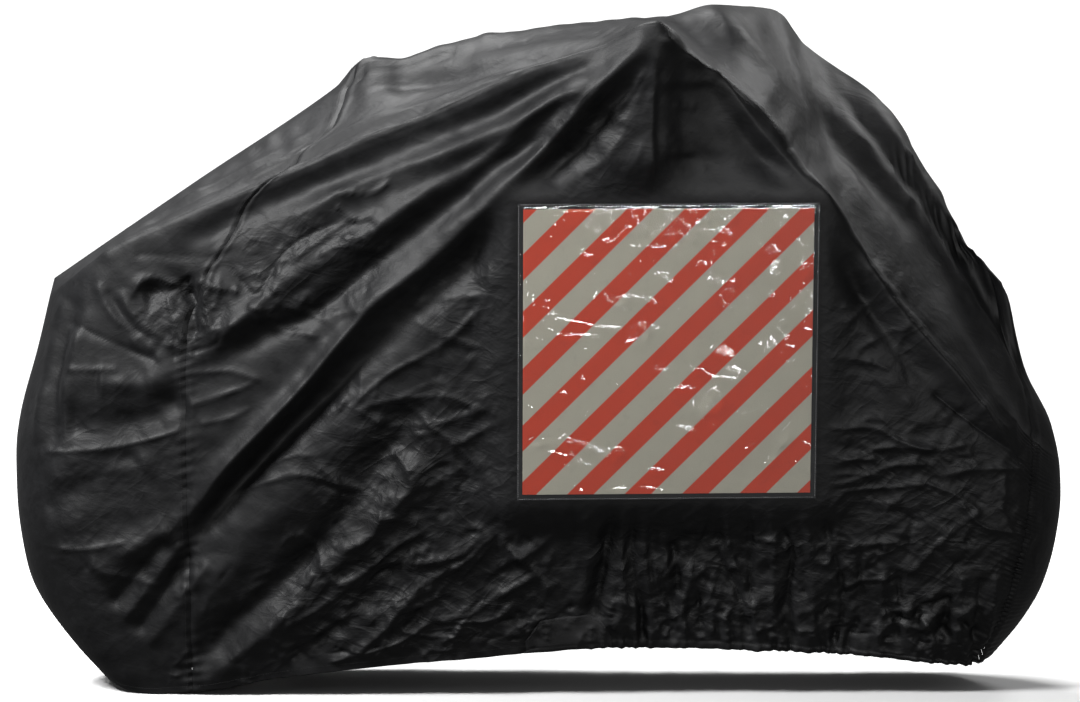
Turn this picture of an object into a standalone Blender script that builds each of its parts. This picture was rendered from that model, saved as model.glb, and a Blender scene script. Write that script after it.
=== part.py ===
"""Fitted bicycle cover with a clear window that holds a striped load board.

The cover is a sewn bag of thin coated cloth, open along its hem. It hangs over an upright bicycle, which isn't
part of the model. Four cloth panels meet at their seams: a rear hood, two sides and a front hood. A clear film
pocket on the near side holds a square board, and a small patch strengthens the hem.

Units are metres. +X runs along the bicycle to its front wheel, +Z is up, and the near side faces -Y. The origin
is on the ground below the middle of the cover's box.

A point of the cloth is found from two numbers. "along" runs from 0 at the rear end to 1 at the front end.
"around" runs from 0 at the near hem, by 1 at the near shoulder, 2 at the crown and 3 at the far shoulder, to 4
at the far hem. Both halves close on the end outlines, where along is 0 or 1.
"""

import math

import bmesh
import bpy
import numpy as np

# ---- driving dimensions ----
CLOTH = 0.0012            # cloth thickness, with its coating
SEAM_GAP = 0.0020         # between two panels that a seam joins
END_RADIUS = 0.125        # plan radius of the rounded rear and front ends
MEAN_LENGTH = 1.78        # length of a level line along one side, for the end radius
BELLY = 0.030             # how far the sides swell between hem and shoulder
ROUNDING = 0.075          # how far a shoulder or the crown is rounded, in steps of "around"

BOARD = 0.500             # side of the square load board
BOARD_THICK = 0.0020
BOARD_CENTRE = (0.222, -0.228, 0.6227)
BOARD_LEAN = math.radians(4.0)   # the top edge leans out
BOARD_YAW = math.radians(3.0)    # the front edge turns back
FLAT_HALF = (0.300, 0.335)       # half width and height of the cloth's flat field behind the pocket
FLAT_FADE = 0.050         # width over which that field fades into the folds

FILM = 0.520              # side of the square film pocket
FILM_THICK = 0.0010
FILM_RIM = 0.004          # width of the rim that is sewn down
FILM_STEP = 0.005         # width of the slope from the rim up to the board's face
LAYER_GAP = 0.0006        # between cloth, board and film

PATCH_THICK = 0.0012
PATCH_HEIGHT = 0.058
PATCH_SPAN = (-0.022, 0.128)     # where the hem patch starts and ends along X
PATCH_OFF = 0.0030        # middle of the patch, out from the middle of the cloth

# Rows and columns of the panels' grids.
ROWS_SIDE = 17
ROWS_TOP = 9
COLUMNS_REAR = 9
COLUMNS_SIDE = 28
COLUMNS_FRONT = 5

# ---- outline and sections ----
# Ends: columns are around (0 hem, 1 shoulder, 2 crown), x, z.
REAR_END = (
    (0.00, -0.800, 0.056),
    (0.10, -0.855, 0.113),
    (0.20, -0.903, 0.186),
    (0.30, -0.918, 0.250),
    (0.42, -0.928, 0.335),
    (0.55, -0.929, 0.420),
    (0.68, -0.920, 0.490),
    (0.84, -0.889, 0.600),
    (1.00, -0.866, 0.695),
    (2.00, -0.858, 0.725),
)
FRONT_END = (
    (0.00, 0.812, 0.056),
    (0.15, 0.862, 0.117),
    (0.35, 0.898, 0.182),
    (0.60, 0.920, 0.264),
    (0.80, 0.928, 0.335),
    (1.00, 0.926, 0.388),
    (1.25, 0.908, 0.472),
    (1.50, 0.864, 0.558),
    (1.65, 0.849, 0.610),
    (1.86, 0.830, 0.695),
    (2.00, 0.815, 0.722),
)
# Rails along the cover: columns are x, y, z.
NEAR_HEM = (
    (-0.800, -0.100, 0.056),
    (-0.765, -0.106, 0.022),
    (-0.730, -0.110, 0.006),
    (-0.682, -0.115, 0.000),
    (-0.620, -0.120, 0.004),
    (-0.457, -0.132, 0.032),
    (-0.277, -0.140, 0.054),
    (0.002, -0.142, 0.079),
    (0.100, -0.136, 0.086),
    (0.190, -0.130, 0.086),
    (0.419, -0.126, 0.080),
    (0.597, -0.120, 0.068),
    (0.765, -0.108, 0.050),
    (0.812, -0.100, 0.056),
)
NEAR_SHOULDER = (
    (-0.866, -0.100, 0.695),
    (-0.754, -0.122, 0.786),
    (-0.617, -0.142, 0.850),
    (-0.479, -0.163, 0.910),
    (-0.337, -0.186, 0.974),
    (-0.185, -0.212, 1.036),
    (0.000, -0.246, 1.122),
    (0.106, -0.268, 1.160),
    (0.198, -0.292, 1.196),
    (0.255, -0.252, 1.150),
    (0.318, -0.226, 1.096),
    (0.382, -0.222, 1.045),
    (0.455, -0.218, 0.966),
    (0.538, -0.204, 0.850),
    (0.597, -0.188, 0.774),
    (0.704, -0.160, 0.632),
    (0.778, -0.138, 0.522),
    (0.863, -0.114, 0.436),
    (0.926, -0.100, 0.388),
)
CROWN = (
    (-0.858, 0.000, 0.725),
    (-0.600, 0.000, 0.901),
    (-0.351, 0.000, 1.070),
    (-0.296, 0.000, 1.118),
    (-0.245, 0.002, 1.110),
    (-0.171, 0.008, 1.134),
    (-0.081, 0.014, 1.154),
    (0.000, 0.020, 1.163),
    (0.175, 0.024, 1.176),
    (0.240, 0.024, 1.190),
    (0.305, 0.030, 1.208),
    (0.360, 0.115, 1.202),
    (0.424, 0.245, 1.190),
    (0.472, 0.246, 1.134),
    (0.541, 0.226, 1.084),
    (0.597, 0.198, 1.046),
    (0.628, 0.178, 1.012),
    (0.716, 0.100, 0.860),
    (0.782, 0.045, 0.760),
    (0.815, 0.000, 0.722),
)
FAR_SHOULDER = (
    (-0.866, 0.100, 0.695),
    (-0.754, 0.120, 0.782),
    (-0.617, 0.142, 0.842),
    (-0.479, 0.162, 0.894),
    (-0.337, 0.183, 0.942),
    (-0.185, 0.208, 0.986),
    (0.000, 0.234, 1.028),
    (0.200, 0.264, 1.064),
    (0.330, 0.283, 1.082),
    (0.424, 0.292, 1.074),
    (0.500, 0.282, 1.010),
    (0.600, 0.256, 0.890),
    (0.700, 0.206, 0.740),
    (0.800, 0.150, 0.570),
    (0.863, 0.120, 0.460),
    (0.926, 0.100, 0.388),
)
# Seams on the near side, and mirrored on the far side: columns are around, x.
REAR_SEAM = (
    (0.00, -0.611),
    (0.30, -0.614),
    (0.60, -0.616),
    (0.74, -0.612),
    (0.84, -0.578),
    (0.90, -0.536),
    (0.96, -0.508),
    (1.00, -0.480),
    (1.12, -0.425),
    (1.26, -0.398),
    (1.36, -0.360),
    (1.60, -0.347),
    (1.88, -0.335),
    (2.00, -0.300),
)
FRONT_SEAM = (
    (0.00, 0.772),
    (0.20, 0.814),
    (0.35, 0.832),
    (0.55, 0.850),
    (0.75, 0.864),
    (1.00, 0.868),
    (1.28, 0.862),
    (1.50, 0.836),
    (1.70, 0.812),
    (1.86, 0.796),
    (2.00, 0.775),
)
# Folds: columns are route in x and z, half width, height out of the cloth (a trough is below 0).
NEAR_FOLDS = (
    # from the near grip down to the rear hem, with the trough under it
    (((0.170, 1.15), (0.097, 1.07), (-0.099, 0.872), (-0.277, 0.71), (-0.408, 0.555), (-0.623, 0.321)), 0.034, 0.026),
    (((-0.623, 0.321), (-0.70, 0.282), (-0.79, 0.236)), 0.034, 0.014),
    (((0.15, 1.06), (0.05, 0.93), (-0.12, 0.76), (-0.29, 0.59), (-0.42, 0.43), (-0.60, 0.24)), 0.040, -0.020),
    # the fold above it, to the pinch at the rear seam
    (((0.08, 1.07), (-0.022, 0.983), (-0.081, 0.933), (-0.284, 0.849), (-0.413, 0.776), (-0.574, 0.640)), 0.034, 0.016),
    (((0.02, 0.98), (-0.10, 0.895), (-0.29, 0.785), (-0.42, 0.69)), 0.034, -0.010),
    # fan from the bar down to the front wheel
    (((0.37, 1.05), (0.46, 0.965), (0.545, 0.83), (0.60, 0.755), (0.704, 0.62), (0.84, 0.45)), 0.034, 0.010),
    (((0.36, 1.15), (0.398, 1.108), (0.479, 1.015), (0.559, 0.911), (0.661, 0.756), (0.74, 0.637)), 0.030, 0.014),
    (((0.46, 1.09), (0.58, 0.969), (0.692, 0.804), (0.817, 0.614)), 0.030, 0.010),
    (((0.42, 1.03), (0.49, 0.95), (0.60, 0.80), (0.73, 0.62)), 0.032, -0.012),
    # pocket, pinch and rolls at the rear
    (((-0.72, 0.70), (-0.63, 0.715)), 0.036, -0.016),
    (((-0.62, 0.70), (-0.60, 0.63)), 0.036, -0.014),
    (((-0.835, 0.68), (-0.865, 0.53)), 0.034, 0.010),
    (((-0.79, 0.66), (-0.825, 0.50)), 0.036, -0.010),
    (((-0.865, 0.43), (-0.70, 0.44), (-0.625, 0.455)), 0.036, -0.008),
    # gathers over the elastic
    (((0.120, 0.32), (0.095, 0.16)), 0.034, -0.012),
    (((0.20, 0.30), (0.20, 0.10)), 0.034, 0.010),
    (((0.32, 0.30), (0.32, 0.10)), 0.034, 0.010),
    (((0.44, 0.28), (0.44, 0.10)), 0.034, -0.009),
    (((0.56, 0.26), (0.55, 0.09)), 0.034, 0.010),
    (((0.68, 0.26), (0.66, 0.08)), 0.034, -0.009),
    # creases of the lower middle
    (((-0.52, 0.36), (-0.40, 0.385), (-0.30, 0.33)), 0.034, 0.010),
    (((-0.36, 0.08), (-0.20, 0.22)), 0.036, 0.012),
    (((-0.20, 0.10), (-0.05, 0.20)), 0.034, 0.010),
    (((-0.20, 0.44), (-0.09, 0.36)), 0.034, 0.010),
    (((0.56, 0.45), (0.72, 0.44)), 0.034, 0.009),
)
FAR_FOLDS = (
    (((0.34, 1.06), (0.10, 0.88), (-0.20, 0.64), (-0.48, 0.38), (-0.66, 0.24)), 0.040, 0.022),
    (((0.30, 0.96), (0.02, 0.76), (-0.26, 0.50), (-0.50, 0.27)), 0.046, -0.016),
    (((0.16, 1.00), (-0.14, 0.88), (-0.40, 0.76), (-0.58, 0.66)), 0.036, 0.012),
    (((0.45, 0.99), (0.56, 0.80), (0.68, 0.58), (0.78, 0.42)), 0.036, 0.014),
    (((0.40, 0.96), (0.47, 0.74), (0.56, 0.54), (0.66, 0.36)), 0.036, 0.012),
    (((-0.84, 0.66), (-0.865, 0.52)), 0.034, 0.010),
    (((0.02, 0.34), (0.01, 0.12)), 0.036, -0.010),
    (((0.18, 0.32), (0.19, 0.10)), 0.036, 0.010),
    (((0.34, 0.34), (0.33, 0.10)), 0.036, 0.010),
    (((0.52, 0.28), (0.52, 0.10)), 0.036, -0.010),
    (((-0.40, 0.12), (-0.22, 0.26)), 0.036, 0.010),
    (((-0.10, 0.50), (0.08, 0.38)), 0.036, 0.010),
)


def smooth(table, value, column):
    """A column of a table at each value of its first column, by a cubic that never overshoots a row."""
    knots = np.array([row[0] for row in table])
    heights = np.array([row[column] for row in table])
    steps = np.diff(knots)
    slopes = np.diff(heights) / steps
    tangents = np.zeros_like(knots)
    same_way = slopes[1:] * slopes[:-1] > 0
    total = slopes[1:] + slopes[:-1]
    harmonic = 2 * slopes[1:] * slopes[:-1] / np.where(total == 0, 1, total)
    tangents[1:-1] = np.where(same_way, harmonic, 0)
    tangents[0], tangents[-1] = slopes[0], slopes[-1]
    value = np.clip(value, knots[0], knots[-1])
    cell = np.clip(np.searchsorted(knots, value, side="right") - 1, 0, len(steps) - 1)
    t = (value - knots[cell]) / steps[cell]
    start, end = heights[cell], heights[cell + 1]
    leave, arrive = tangents[cell] * steps[cell], tangents[cell + 1] * steps[cell]
    bend = (2 * t**3 - 3 * t**2 + 1) * start + (3 * t**2 - 2 * t**3) * end
    return bend + (t**3 - 2 * t**2 + t) * leave + (t**3 - t**2) * arrive


def ease(value):
    """0 below 0, 1 above 1, and smooth between."""
    value = np.clip(value, 0, 1)
    return value * value * (3 - 2 * value)


def end_distance(along):
    """Distance to the nearer end, along the cover."""
    return np.minimum(along, 1 - along) * MEAN_LENGTH


def rail(table, along, closing):
    """Points of a rail at each "along", its depth drawn in round the ends."""
    x = table[0][0] + (table[-1][0] - table[0][0]) * along
    return np.stack([x, smooth(table, x, 1) * closing, smooth(table, x, 2)], -1)


def end_point(table, around):
    """Points of an end outline at each "around", from 0 to 2."""
    return np.stack([smooth(table, around, 1), np.zeros_like(around), smooth(table, around, 2)], -1)


def patch(lower, upper, floor, along, around):
    """The cloth between two rails, which are floor and floor + 1 in "around", and the two end outlines."""
    height = around - floor
    closing = 1 - np.clip(1 - end_distance(along) / END_RADIUS, 0, 1) ** 2
    closing = np.sqrt(closing)
    bottom = rail(lower, along, closing)
    top = rail(upper, along, closing)
    ends = []
    for table in (REAR_END, FRONT_END):
        first = end_point(table, np.full_like(around, floor))
        last = end_point(table, np.full_like(around, floor + 1))
        straight = first + (last - first) * height[..., None]
        ends.append(end_point(table, around) - straight)
    reach = along[..., None]
    level = height[..., None]
    points = bottom * (1 - level) + top * level + ends[0] * (1 - reach) + ends[1] * reach
    if floor == 0:
        points[..., 1] += np.sign(lower[0][1]) * BELLY * np.sin(math.pi * height) * closing
    return points


def half_mirror(table):
    """A rail's table with its depths turned to the other side."""
    return tuple((x, -y, z) for x, y, z in table)


def sharp_form(along, around):
    """The cover's form before its shoulders are rounded."""
    turned = np.where(around > 2, 4 - around, around)
    near = np.where(
        (turned <= 1)[..., None],
        patch(NEAR_HEM, NEAR_SHOULDER, 0, along, np.clip(turned, 0, 1)),
        patch(NEAR_SHOULDER, CROWN, 1, along, np.clip(turned, 1, 2)),
    )
    far = np.where(
        (turned <= 1)[..., None],
        patch(half_mirror(NEAR_HEM), FAR_SHOULDER, 0, along, np.clip(turned, 0, 1)),
        patch(FAR_SHOULDER, CROWN, 1, along, np.clip(turned, 1, 2)),
    )
    return np.where((around > 2)[..., None], far, near)


def form(along, around):
    """The cover's form with round shoulders and crown, without folds."""
    reach = ROUNDING * np.minimum(1, np.minimum(around, 4 - around) / ROUNDING)
    total = 0
    for offset, weight in ((-1, 1), (-0.5, 2), (0, 2), (0.5, 2), (1, 1)):
        total = total + weight * sharp_form(along, np.clip(around + offset * reach, 0, 4))
    return total / 8


def outward(along, around):
    """Unit normals of the form, out of the cover."""
    step = 0.002
    ahead = form(np.clip(along + step, 0, 1), around) - form(np.clip(along - step, 0, 1), around)
    up = form(along, np.clip(around + step, 0, 4)) - form(along, np.clip(around - step, 0, 4))
    normal = np.cross(ahead, up)
    return normal / np.maximum(np.linalg.norm(normal, axis=-1, keepdims=True), 1e-9)


def fold_height(points, folds):
    """How far the folds lift the cloth at each point, from its x and z."""
    place = points[..., (0, 2)]
    lift = np.zeros(points.shape[:-1])
    for route, width, height in folds:
        route = np.array(route)
        lengths = np.linalg.norm(np.diff(route, axis=0), axis=1)
        walked = np.concatenate([[0], np.cumsum(lengths)])
        nearest = np.full(lift.shape, np.inf)
        share = np.zeros(lift.shape)
        for start, end, length, before in zip(route[:-1], route[1:], lengths, walked[:-1]):
            t = np.clip(((place - start) @ (end - start)) / length**2, 0, 1)
            gap = np.linalg.norm(place - (start + t[..., None] * (end - start)), axis=-1)
            share = np.where(gap < nearest, (before + t * length) / walked[-1], share)
            nearest = np.minimum(gap, nearest)
        taper = ease(share * 8 + 0.25) * ease((1 - share) * 5 + 0.25)
        lift += height * taper * np.exp(-((nearest / width) ** 2))
    return lift


def board_plane(x, z):
    """Depth of the board's plane at x and z."""
    centre_x, centre_y, centre_z = BOARD_CENTRE
    return centre_y + (x - centre_x) * math.tan(BOARD_YAW) - (z - centre_z) * math.tan(BOARD_LEAN)


def cloth(along, around):
    """Points on the middle of the cloth, with its folds and the flat field behind the pocket."""
    points = form(along, around)
    near = around < 2
    lift = np.where(near, fold_height(points, NEAR_FOLDS), fold_height(points, FAR_FOLDS))
    lift *= ease(end_distance(along) / 0.07) * ease(np.abs(around - 2) / 0.12)
    points = points + outward(along, around) * lift[..., None]
    offset_x = np.abs(points[..., 0] - BOARD_CENTRE[0])
    offset_z = np.abs(points[..., 2] - BOARD_CENTRE[2])
    beyond = np.hypot(np.maximum(offset_x - FLAT_HALF[0], 0), np.maximum(offset_z - FLAT_HALF[1], 0))
    flat = (1 - ease(beyond / FLAT_FADE)) * (1 - ease((around - 1.02) / 0.15))
    plane = board_plane(points[..., 0], points[..., 2])
    points[..., 1] = points[..., 1] * (1 - flat) + plane * flat
    return points


def material(name, colour, roughness, metallic=0.0, alpha=1.0):
    """A plain Principled material."""
    made = bpy.data.materials.new(name)
    made.use_nodes = True
    shader = made.node_tree.nodes["Principled BSDF"]
    shader.inputs["Base Color"].default_value = (*colour, 1.0)
    shader.inputs["Roughness"].default_value = roughness
    shader.inputs["Metallic"].default_value = metallic
    shader.inputs["Alpha"].default_value = alpha
    return made


def finish_object(name, mesh, surface):
    """Puts a bmesh into the scene as a smooth-shaded object."""
    data = bpy.data.meshes.new(name)
    mesh.to_mesh(data)
    mesh.free()
    data.shade_smooth()
    data.materials.append(surface)
    made = bpy.data.objects.new(name, data)
    bpy.context.scene.collection.objects.link(made)
    return made


def thicken(made, thickness):
    """Gives a sheet its thickness, half to each side."""
    wall = made.modifiers.new("thickness", "SOLIDIFY")
    wall.thickness = thickness
    wall.offset = 0.0
    wall.use_rim = True
    return made


def sheet(name, columns, rows, place, surface, thickness):
    """A grid of columns by rows whose points are placed from their two fractions, then thickened."""
    mesh = bmesh.new()
    bmesh.ops.create_grid(mesh, x_segments=columns, y_segments=rows, size=0.5)
    fractions = np.array([(vert.co.x + 0.5, vert.co.y + 0.5) for vert in mesh.verts])
    for vert, point in zip(mesh.verts, place(fractions[:, 0], fractions[:, 1])):
        vert.co = point
    bmesh.ops.remove_doubles(mesh, verts=mesh.verts, dist=1e-6)
    return thicken(finish_object(name, mesh, surface), thickness)


def seam_along(table, around):
    """Where a seam lies, as "along", at each "around" on either side."""
    turned = np.where(around > 2, 4 - around, around)
    x = smooth(table, turned, 1)
    lower = (NEAR_HEM[0][0], NEAR_HEM[-1][0])
    middle = (NEAR_SHOULDER[0][0], NEAR_SHOULDER[-1][0])
    upper = (CROWN[0][0], CROWN[-1][0])
    below = turned <= 1
    blend = np.where(below, turned, turned - 1)
    starts = np.where(below, lower[0] + (middle[0] - lower[0]) * blend, middle[0] + (upper[0] - middle[0]) * blend)
    stops = np.where(below, lower[1] + (middle[1] - lower[1]) * blend, middle[1] + (upper[1] - middle[1]) * blend)
    rear = smooth(REAR_END, turned, 1) - starts
    front = smooth(FRONT_END, turned, 1) - stops
    return (x - starts - rear) / (stops - starts + front - rear)


def around_of(fraction, start, stop):
    """Spreads the rows from start to stop of "around": the sides have more rows than the top."""
    knots = np.array([0.0, 1.0, 2.0, 3.0, 4.0])
    rows = np.array([0, ROWS_SIDE, ROWS_SIDE + ROWS_TOP, ROWS_SIDE + 2 * ROWS_TOP, 2 * (ROWS_SIDE + ROWS_TOP)])
    first, last = np.interp([start, stop], knots, rows)
    return np.interp(first + (last - first) * fraction, rows, knots)


def rear_panel(surface):
    """The tail hood, round the rear wheel and over the slope to the saddle."""

    def place(fraction, row):
        around = around_of(row, 0, 4)
        along = (seam_along(REAR_SEAM, around) - SEAM_GAP / 2 / MEAN_LENGTH) * fraction**1.45
        return cloth(along, around)

    return sheet("rear_panel", COLUMNS_REAR, 2 * (ROWS_SIDE + ROWS_TOP), place, surface, CLOTH)


def front_panel(surface):
    """The front hood: a cap round the front wheel's end, up to the low point of the crown."""

    def place(fraction, row):
        around = around_of(row, 0, 4)
        along = 1 - (1 - seam_along(FRONT_SEAM, around) - SEAM_GAP / 2 / MEAN_LENGTH) * (1 - fraction) ** 1.6
        return cloth(along, around)

    return sheet("front_panel", COLUMNS_FRONT, 2 * (ROWS_SIDE + ROWS_TOP), place, surface, CLOTH)


def crown_edge(fraction, side):
    """The "around" of a side's top edge, half a seam gap from the crown. side is -1 near and 1 far."""
    crown = np.full_like(fraction, 2.0)
    start, stop = seam_along(REAR_SEAM, crown), seam_along(FRONT_SEAM, crown)
    along = start + (stop - start) * fraction
    reach = 0.02
    width = np.linalg.norm(form(along, crown + side * reach) - form(along, crown), axis=-1)
    return crown + side * reach * SEAM_GAP / 2 / width


def side_panel(name, side, surface):
    """One side, between the rear and front seams and up to the crown seam."""

    def place(fraction, row):
        edge = crown_edge(fraction, side)
        if side < 0:
            around = around_of(row, 0, 2) * edge / 2
        else:
            around = 4 - (4 - around_of(row, 2, 4)) * (4 - edge) / 2
        start = seam_along(REAR_SEAM, around) + SEAM_GAP / 2 / MEAN_LENGTH
        stop = seam_along(FRONT_SEAM, around) - SEAM_GAP / 2 / MEAN_LENGTH
        return cloth(start + (stop - start) * fraction, around)

    return sheet(name, COLUMNS_SIDE, ROWS_SIDE + ROWS_TOP, place, surface, CLOTH)


def on_board(right, up, out):
    """A point given from the board's centre: along its width, up its height and out of its face."""
    along_x = np.array([math.cos(BOARD_YAW), math.sin(BOARD_YAW), 0.0])
    normal = np.array([math.tan(BOARD_YAW), -1.0, -math.tan(BOARD_LEAN)])
    normal /= np.linalg.norm(normal)
    along_x = along_x - normal * (along_x @ normal)
    along_x /= np.linalg.norm(along_x)
    rise = np.cross(normal, along_x)
    return np.array(BOARD_CENTRE) + right[:, None] * along_x + up[:, None] * rise + out[:, None] * normal


def warning_board(surface):
    """The flat striped board in the pocket."""
    mesh = bmesh.new()
    bmesh.ops.create_cube(mesh, size=1.0)
    corners = np.array([tuple(vert.co) for vert in mesh.verts])
    out = CLOTH / 2 + LAYER_GAP + BOARD_THICK / 2 - corners[:, 1] * BOARD_THICK
    for vert, point in zip(mesh.verts, on_board(corners[:, 0] * BOARD, corners[:, 2] * BOARD, out)):
        vert.co = point
    made = finish_object("warning_board", mesh, surface)
    made.data.shade_flat()
    return made


def window_film(surface):
    """The clear pocket over the board: a rim on the cloth, and a low step up to the board's face."""
    inner = FILM / 2 - FILM_RIM - FILM_STEP
    lines = [-FILM / 2, -FILM / 2 + FILM_RIM]
    lines += [inner * (2 * number / 6 - 1) for number in range(7)]
    lines += [FILM / 2 - FILM_RIM, FILM / 2]
    low = CLOTH / 2 + LAYER_GAP + FILM_THICK / 2
    high = low + BOARD_THICK + LAYER_GAP

    def place(fraction, row):
        right = np.interp(fraction * (len(lines) - 1), range(len(lines)), lines)
        up = np.interp(row * (len(lines) - 1), range(len(lines)), lines)
        from_edge = FILM / 2 - np.maximum(np.abs(right), np.abs(up))
        out = low + (high - low) * np.clip((from_edge - FILM_RIM) / FILM_STEP, 0, 1)
        return on_board(right, up, out)

    return sheet("window_film", len(lines) - 1, len(lines) - 1, place, surface, FILM_THICK)


def hem_patch(surface):
    """The reinforcement on the near hem: straight along the hem, round at its top front corner."""
    start, stop = PATCH_SPAN
    mean_height = 1.05

    def place(fraction, row):
        x = start + (stop - start) * fraction
        corner = np.clip((fraction - 0.72) / 0.28, 0, 1)
        slant = np.clip(fraction / 0.20, 0, 1)
        top = PATCH_HEIGHT * np.sqrt(np.maximum(1 - corner**2, 0.09)) * (0.35 + 0.65 * slant)
        around = (0.003 + top * row) / mean_height
        along = (x - NEAR_HEM[0][0]) / (NEAR_HEM[-1][0] - NEAR_HEM[0][0])
        points = cloth(along, around)
        return points + outward(along, around) * PATCH_OFF

    return sheet("hem_patch", 10, 4, place, surface, PATCH_THICK)


def build():
    """Makes the cover's pieces."""
    for old in list(bpy.data.objects):
        bpy.data.objects.remove(old)
    fabric = material("cover_cloth", (0.016, 0.016, 0.018), 0.55)
    hood_fabric = material("hood_cloth", (0.018, 0.018, 0.020), 0.55)
    reinforcement = material("patch_cloth", (0.008, 0.008, 0.009), 0.70)
    film = material("clear_film", (0.95, 0.95, 0.95), 0.06, alpha=0.25)
    board = material("board_face", (0.60, 0.06, 0.02), 0.35)
    rear_panel(hood_fabric)
    side_panel("side_panel_near", -1, fabric)
    side_panel("side_panel_far", 1, fabric)
    front_panel(hood_fabric)
    hem_patch(reinforcement)
    warning_board(board)
    window_film(film)


build()
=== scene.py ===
"""Looks of the bicycle cover: cloth panels with folds, the striped board in its clear pocket, and stitching.

Units are metres. +X runs along the bicycle to its front wheel, +Z is up, and the near side faces -Y.

A point of the cloth is found from two numbers. "along" runs from 0 at the rear end to 1 at the front end.
"around" runs from 0 at the near hem, by 1 at the near shoulder, 2 at the crown and 3 at the far shoulder, to
4 at the far hem. Folds lie on the form so found, and lift it along its outward normal.
"""

import math

import bmesh
import bpy
import numpy as np
from bpy.props import FloatProperty, FloatVectorProperty, PointerProperty
from mathutils import Matrix, Vector
from mathutils.kdtree import KDTree


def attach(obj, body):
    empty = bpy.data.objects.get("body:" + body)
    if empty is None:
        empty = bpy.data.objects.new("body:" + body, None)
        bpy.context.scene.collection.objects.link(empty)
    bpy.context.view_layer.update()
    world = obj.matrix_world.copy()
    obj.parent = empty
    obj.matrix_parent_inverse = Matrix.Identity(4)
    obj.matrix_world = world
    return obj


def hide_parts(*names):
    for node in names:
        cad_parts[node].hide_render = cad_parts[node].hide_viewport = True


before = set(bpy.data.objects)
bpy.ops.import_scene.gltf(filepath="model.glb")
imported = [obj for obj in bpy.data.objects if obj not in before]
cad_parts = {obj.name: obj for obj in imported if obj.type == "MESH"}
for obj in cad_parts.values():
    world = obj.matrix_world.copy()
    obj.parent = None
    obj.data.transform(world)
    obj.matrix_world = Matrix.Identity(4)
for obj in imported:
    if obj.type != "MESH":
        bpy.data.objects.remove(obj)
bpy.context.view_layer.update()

bl_info = {
    "name": "Bicycle Cover",
    "version": (1, 0, 0),
    "blender": (4, 5, 0),
    "location": "View3D > Sidebar > Cover",
    "description": "Makes a fitted bicycle cover with a striped board in a clear pocket",
    "category": "Add Mesh",
}

# ---- sizes of the form ----
END_RADIUS = 0.125        # plan radius of the rounded rear and front ends
MEAN_LENGTH = 1.78        # length of a level line along one side
BELLY = 0.03             # how far the sides swell between hem and shoulder
ROUNDING = 0.05          # how far a shoulder or the crown is rounded, in steps of "around"
SAMPLES = 1600            # points of each rail that the cloth reads between
SIDE_HEIGHT = 1.05        # length of a side from hem to shoulder, for distances up the cloth
TOP_WIDTH = 0.3          # and of the top, from shoulder to crown

BOARD = 0.5             # side of the square load board
BOARD_THICK = 0.002
BOARD_CENTRE = (0.222, -0.228, 0.6227)
BOARD_LEAN = math.radians(4.0)   # the top edge leans out
BOARD_YAW = math.radians(3.0)    # the front edge turns back
FLAT_HALF = (0.262, 0.262)       # half width and height of the cloth's flat field behind the pocket
FLAT_FADE = 0.08         # width over which that field fades into the folds
CLOTH_SINK = 0.0012       # how far the flat field lies behind the board's plane

FILM = 0.52              # side of the square film pocket
FILM_RIM = 0.004          # width of the rim that is sewn down
FILM_STEP = 0.006         # width of the slope from the rim up to the board's face
FILM_LOW = 0.0014         # height of the rim over the board's plane
FILM_HIGH = 0.0042        # height of the film over the board

PATCH_HEIGHT = 0.058
PATCH_SPAN = (-0.022, 0.128)     # where the hem patch starts and ends along X
PATCH_OFF = 0.003        # middle of the patch, out from the middle of the cloth

FACET_SIZE = 0.03         # across a facet of the crumpled cloth
FACET_STRETCH = 1.9       # how much longer it is than wide
FACET_DIRECTION = -40.0   # in degrees
FACET_TILT = 0.0034       # how far facets tilt in and out
FACET_CREASE = 0.001      # height of the creases between them
SLACK_HEIGHT, SLACK_LENGTH = 0.002, 0.3          # broad unevenness of all the cloth
RIPPLE_HEIGHT, RIPPLE_LENGTH = 0.0007, 0.06      # and a smaller one

# Gathers over the elastic: pitch, height.
FINE_GATHER = (0.0155, 0.0026)
MIDDLE_GATHER = (0.036, 0.0042)
TALL_GATHER = (0.071, 0.0045)
CASING = 0.0022           # how far the hem's casing stands out

GROOVE_DEPTH, GROOVE_HALF = 0.0018, 0.004        # of a hood seam
LIP_HEIGHT, LIP_AWAY, LIP_HALF = 0.001, 0.01, 0.005
PUCKER_PITCH = 0.023
PUCKER_HEIGHTS = (0.0009, 0.0018)                # at the rear seam and at the front seam
PUCKER_REACH = 0.016
CROWN_LIP, CROWN_LIP_HALF = 0.0016, 0.006        # of the seam along the crown

HEM_BAND = 0.014          # height of the stitched hem
ELASTIC_SPAN = (0.1, 0.8)    # where the hem is gathered by its elastic, along X

# ---- outline and sections ----
# Ends: columns are around (0 hem, 1 shoulder, 2 crown), x, z.
REAR_END = (
    (0.0, -0.8, 0.056),
    (0.1, -0.855, 0.113),
    (0.2, -0.903, 0.186),
    (0.3, -0.918, 0.25),
    (0.42, -0.928, 0.335),
    (0.55, -0.929, 0.42),
    (0.68, -0.92, 0.49),
    (0.84, -0.889, 0.6),
    (1.0, -0.866, 0.695),
    (2.0, -0.858, 0.725),
)
FRONT_END = (
    (0.0, 0.812, 0.056),
    (0.15, 0.862, 0.117),
    (0.35, 0.898, 0.182),
    (0.6, 0.92, 0.264),
    (0.8, 0.928, 0.335),
    (1.0, 0.926, 0.388),
    (1.25, 0.908, 0.472),
    (1.5, 0.864, 0.558),
    (1.65, 0.849, 0.61),
    (1.86, 0.83, 0.695),
    (2.0, 0.815, 0.722),
)
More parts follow.
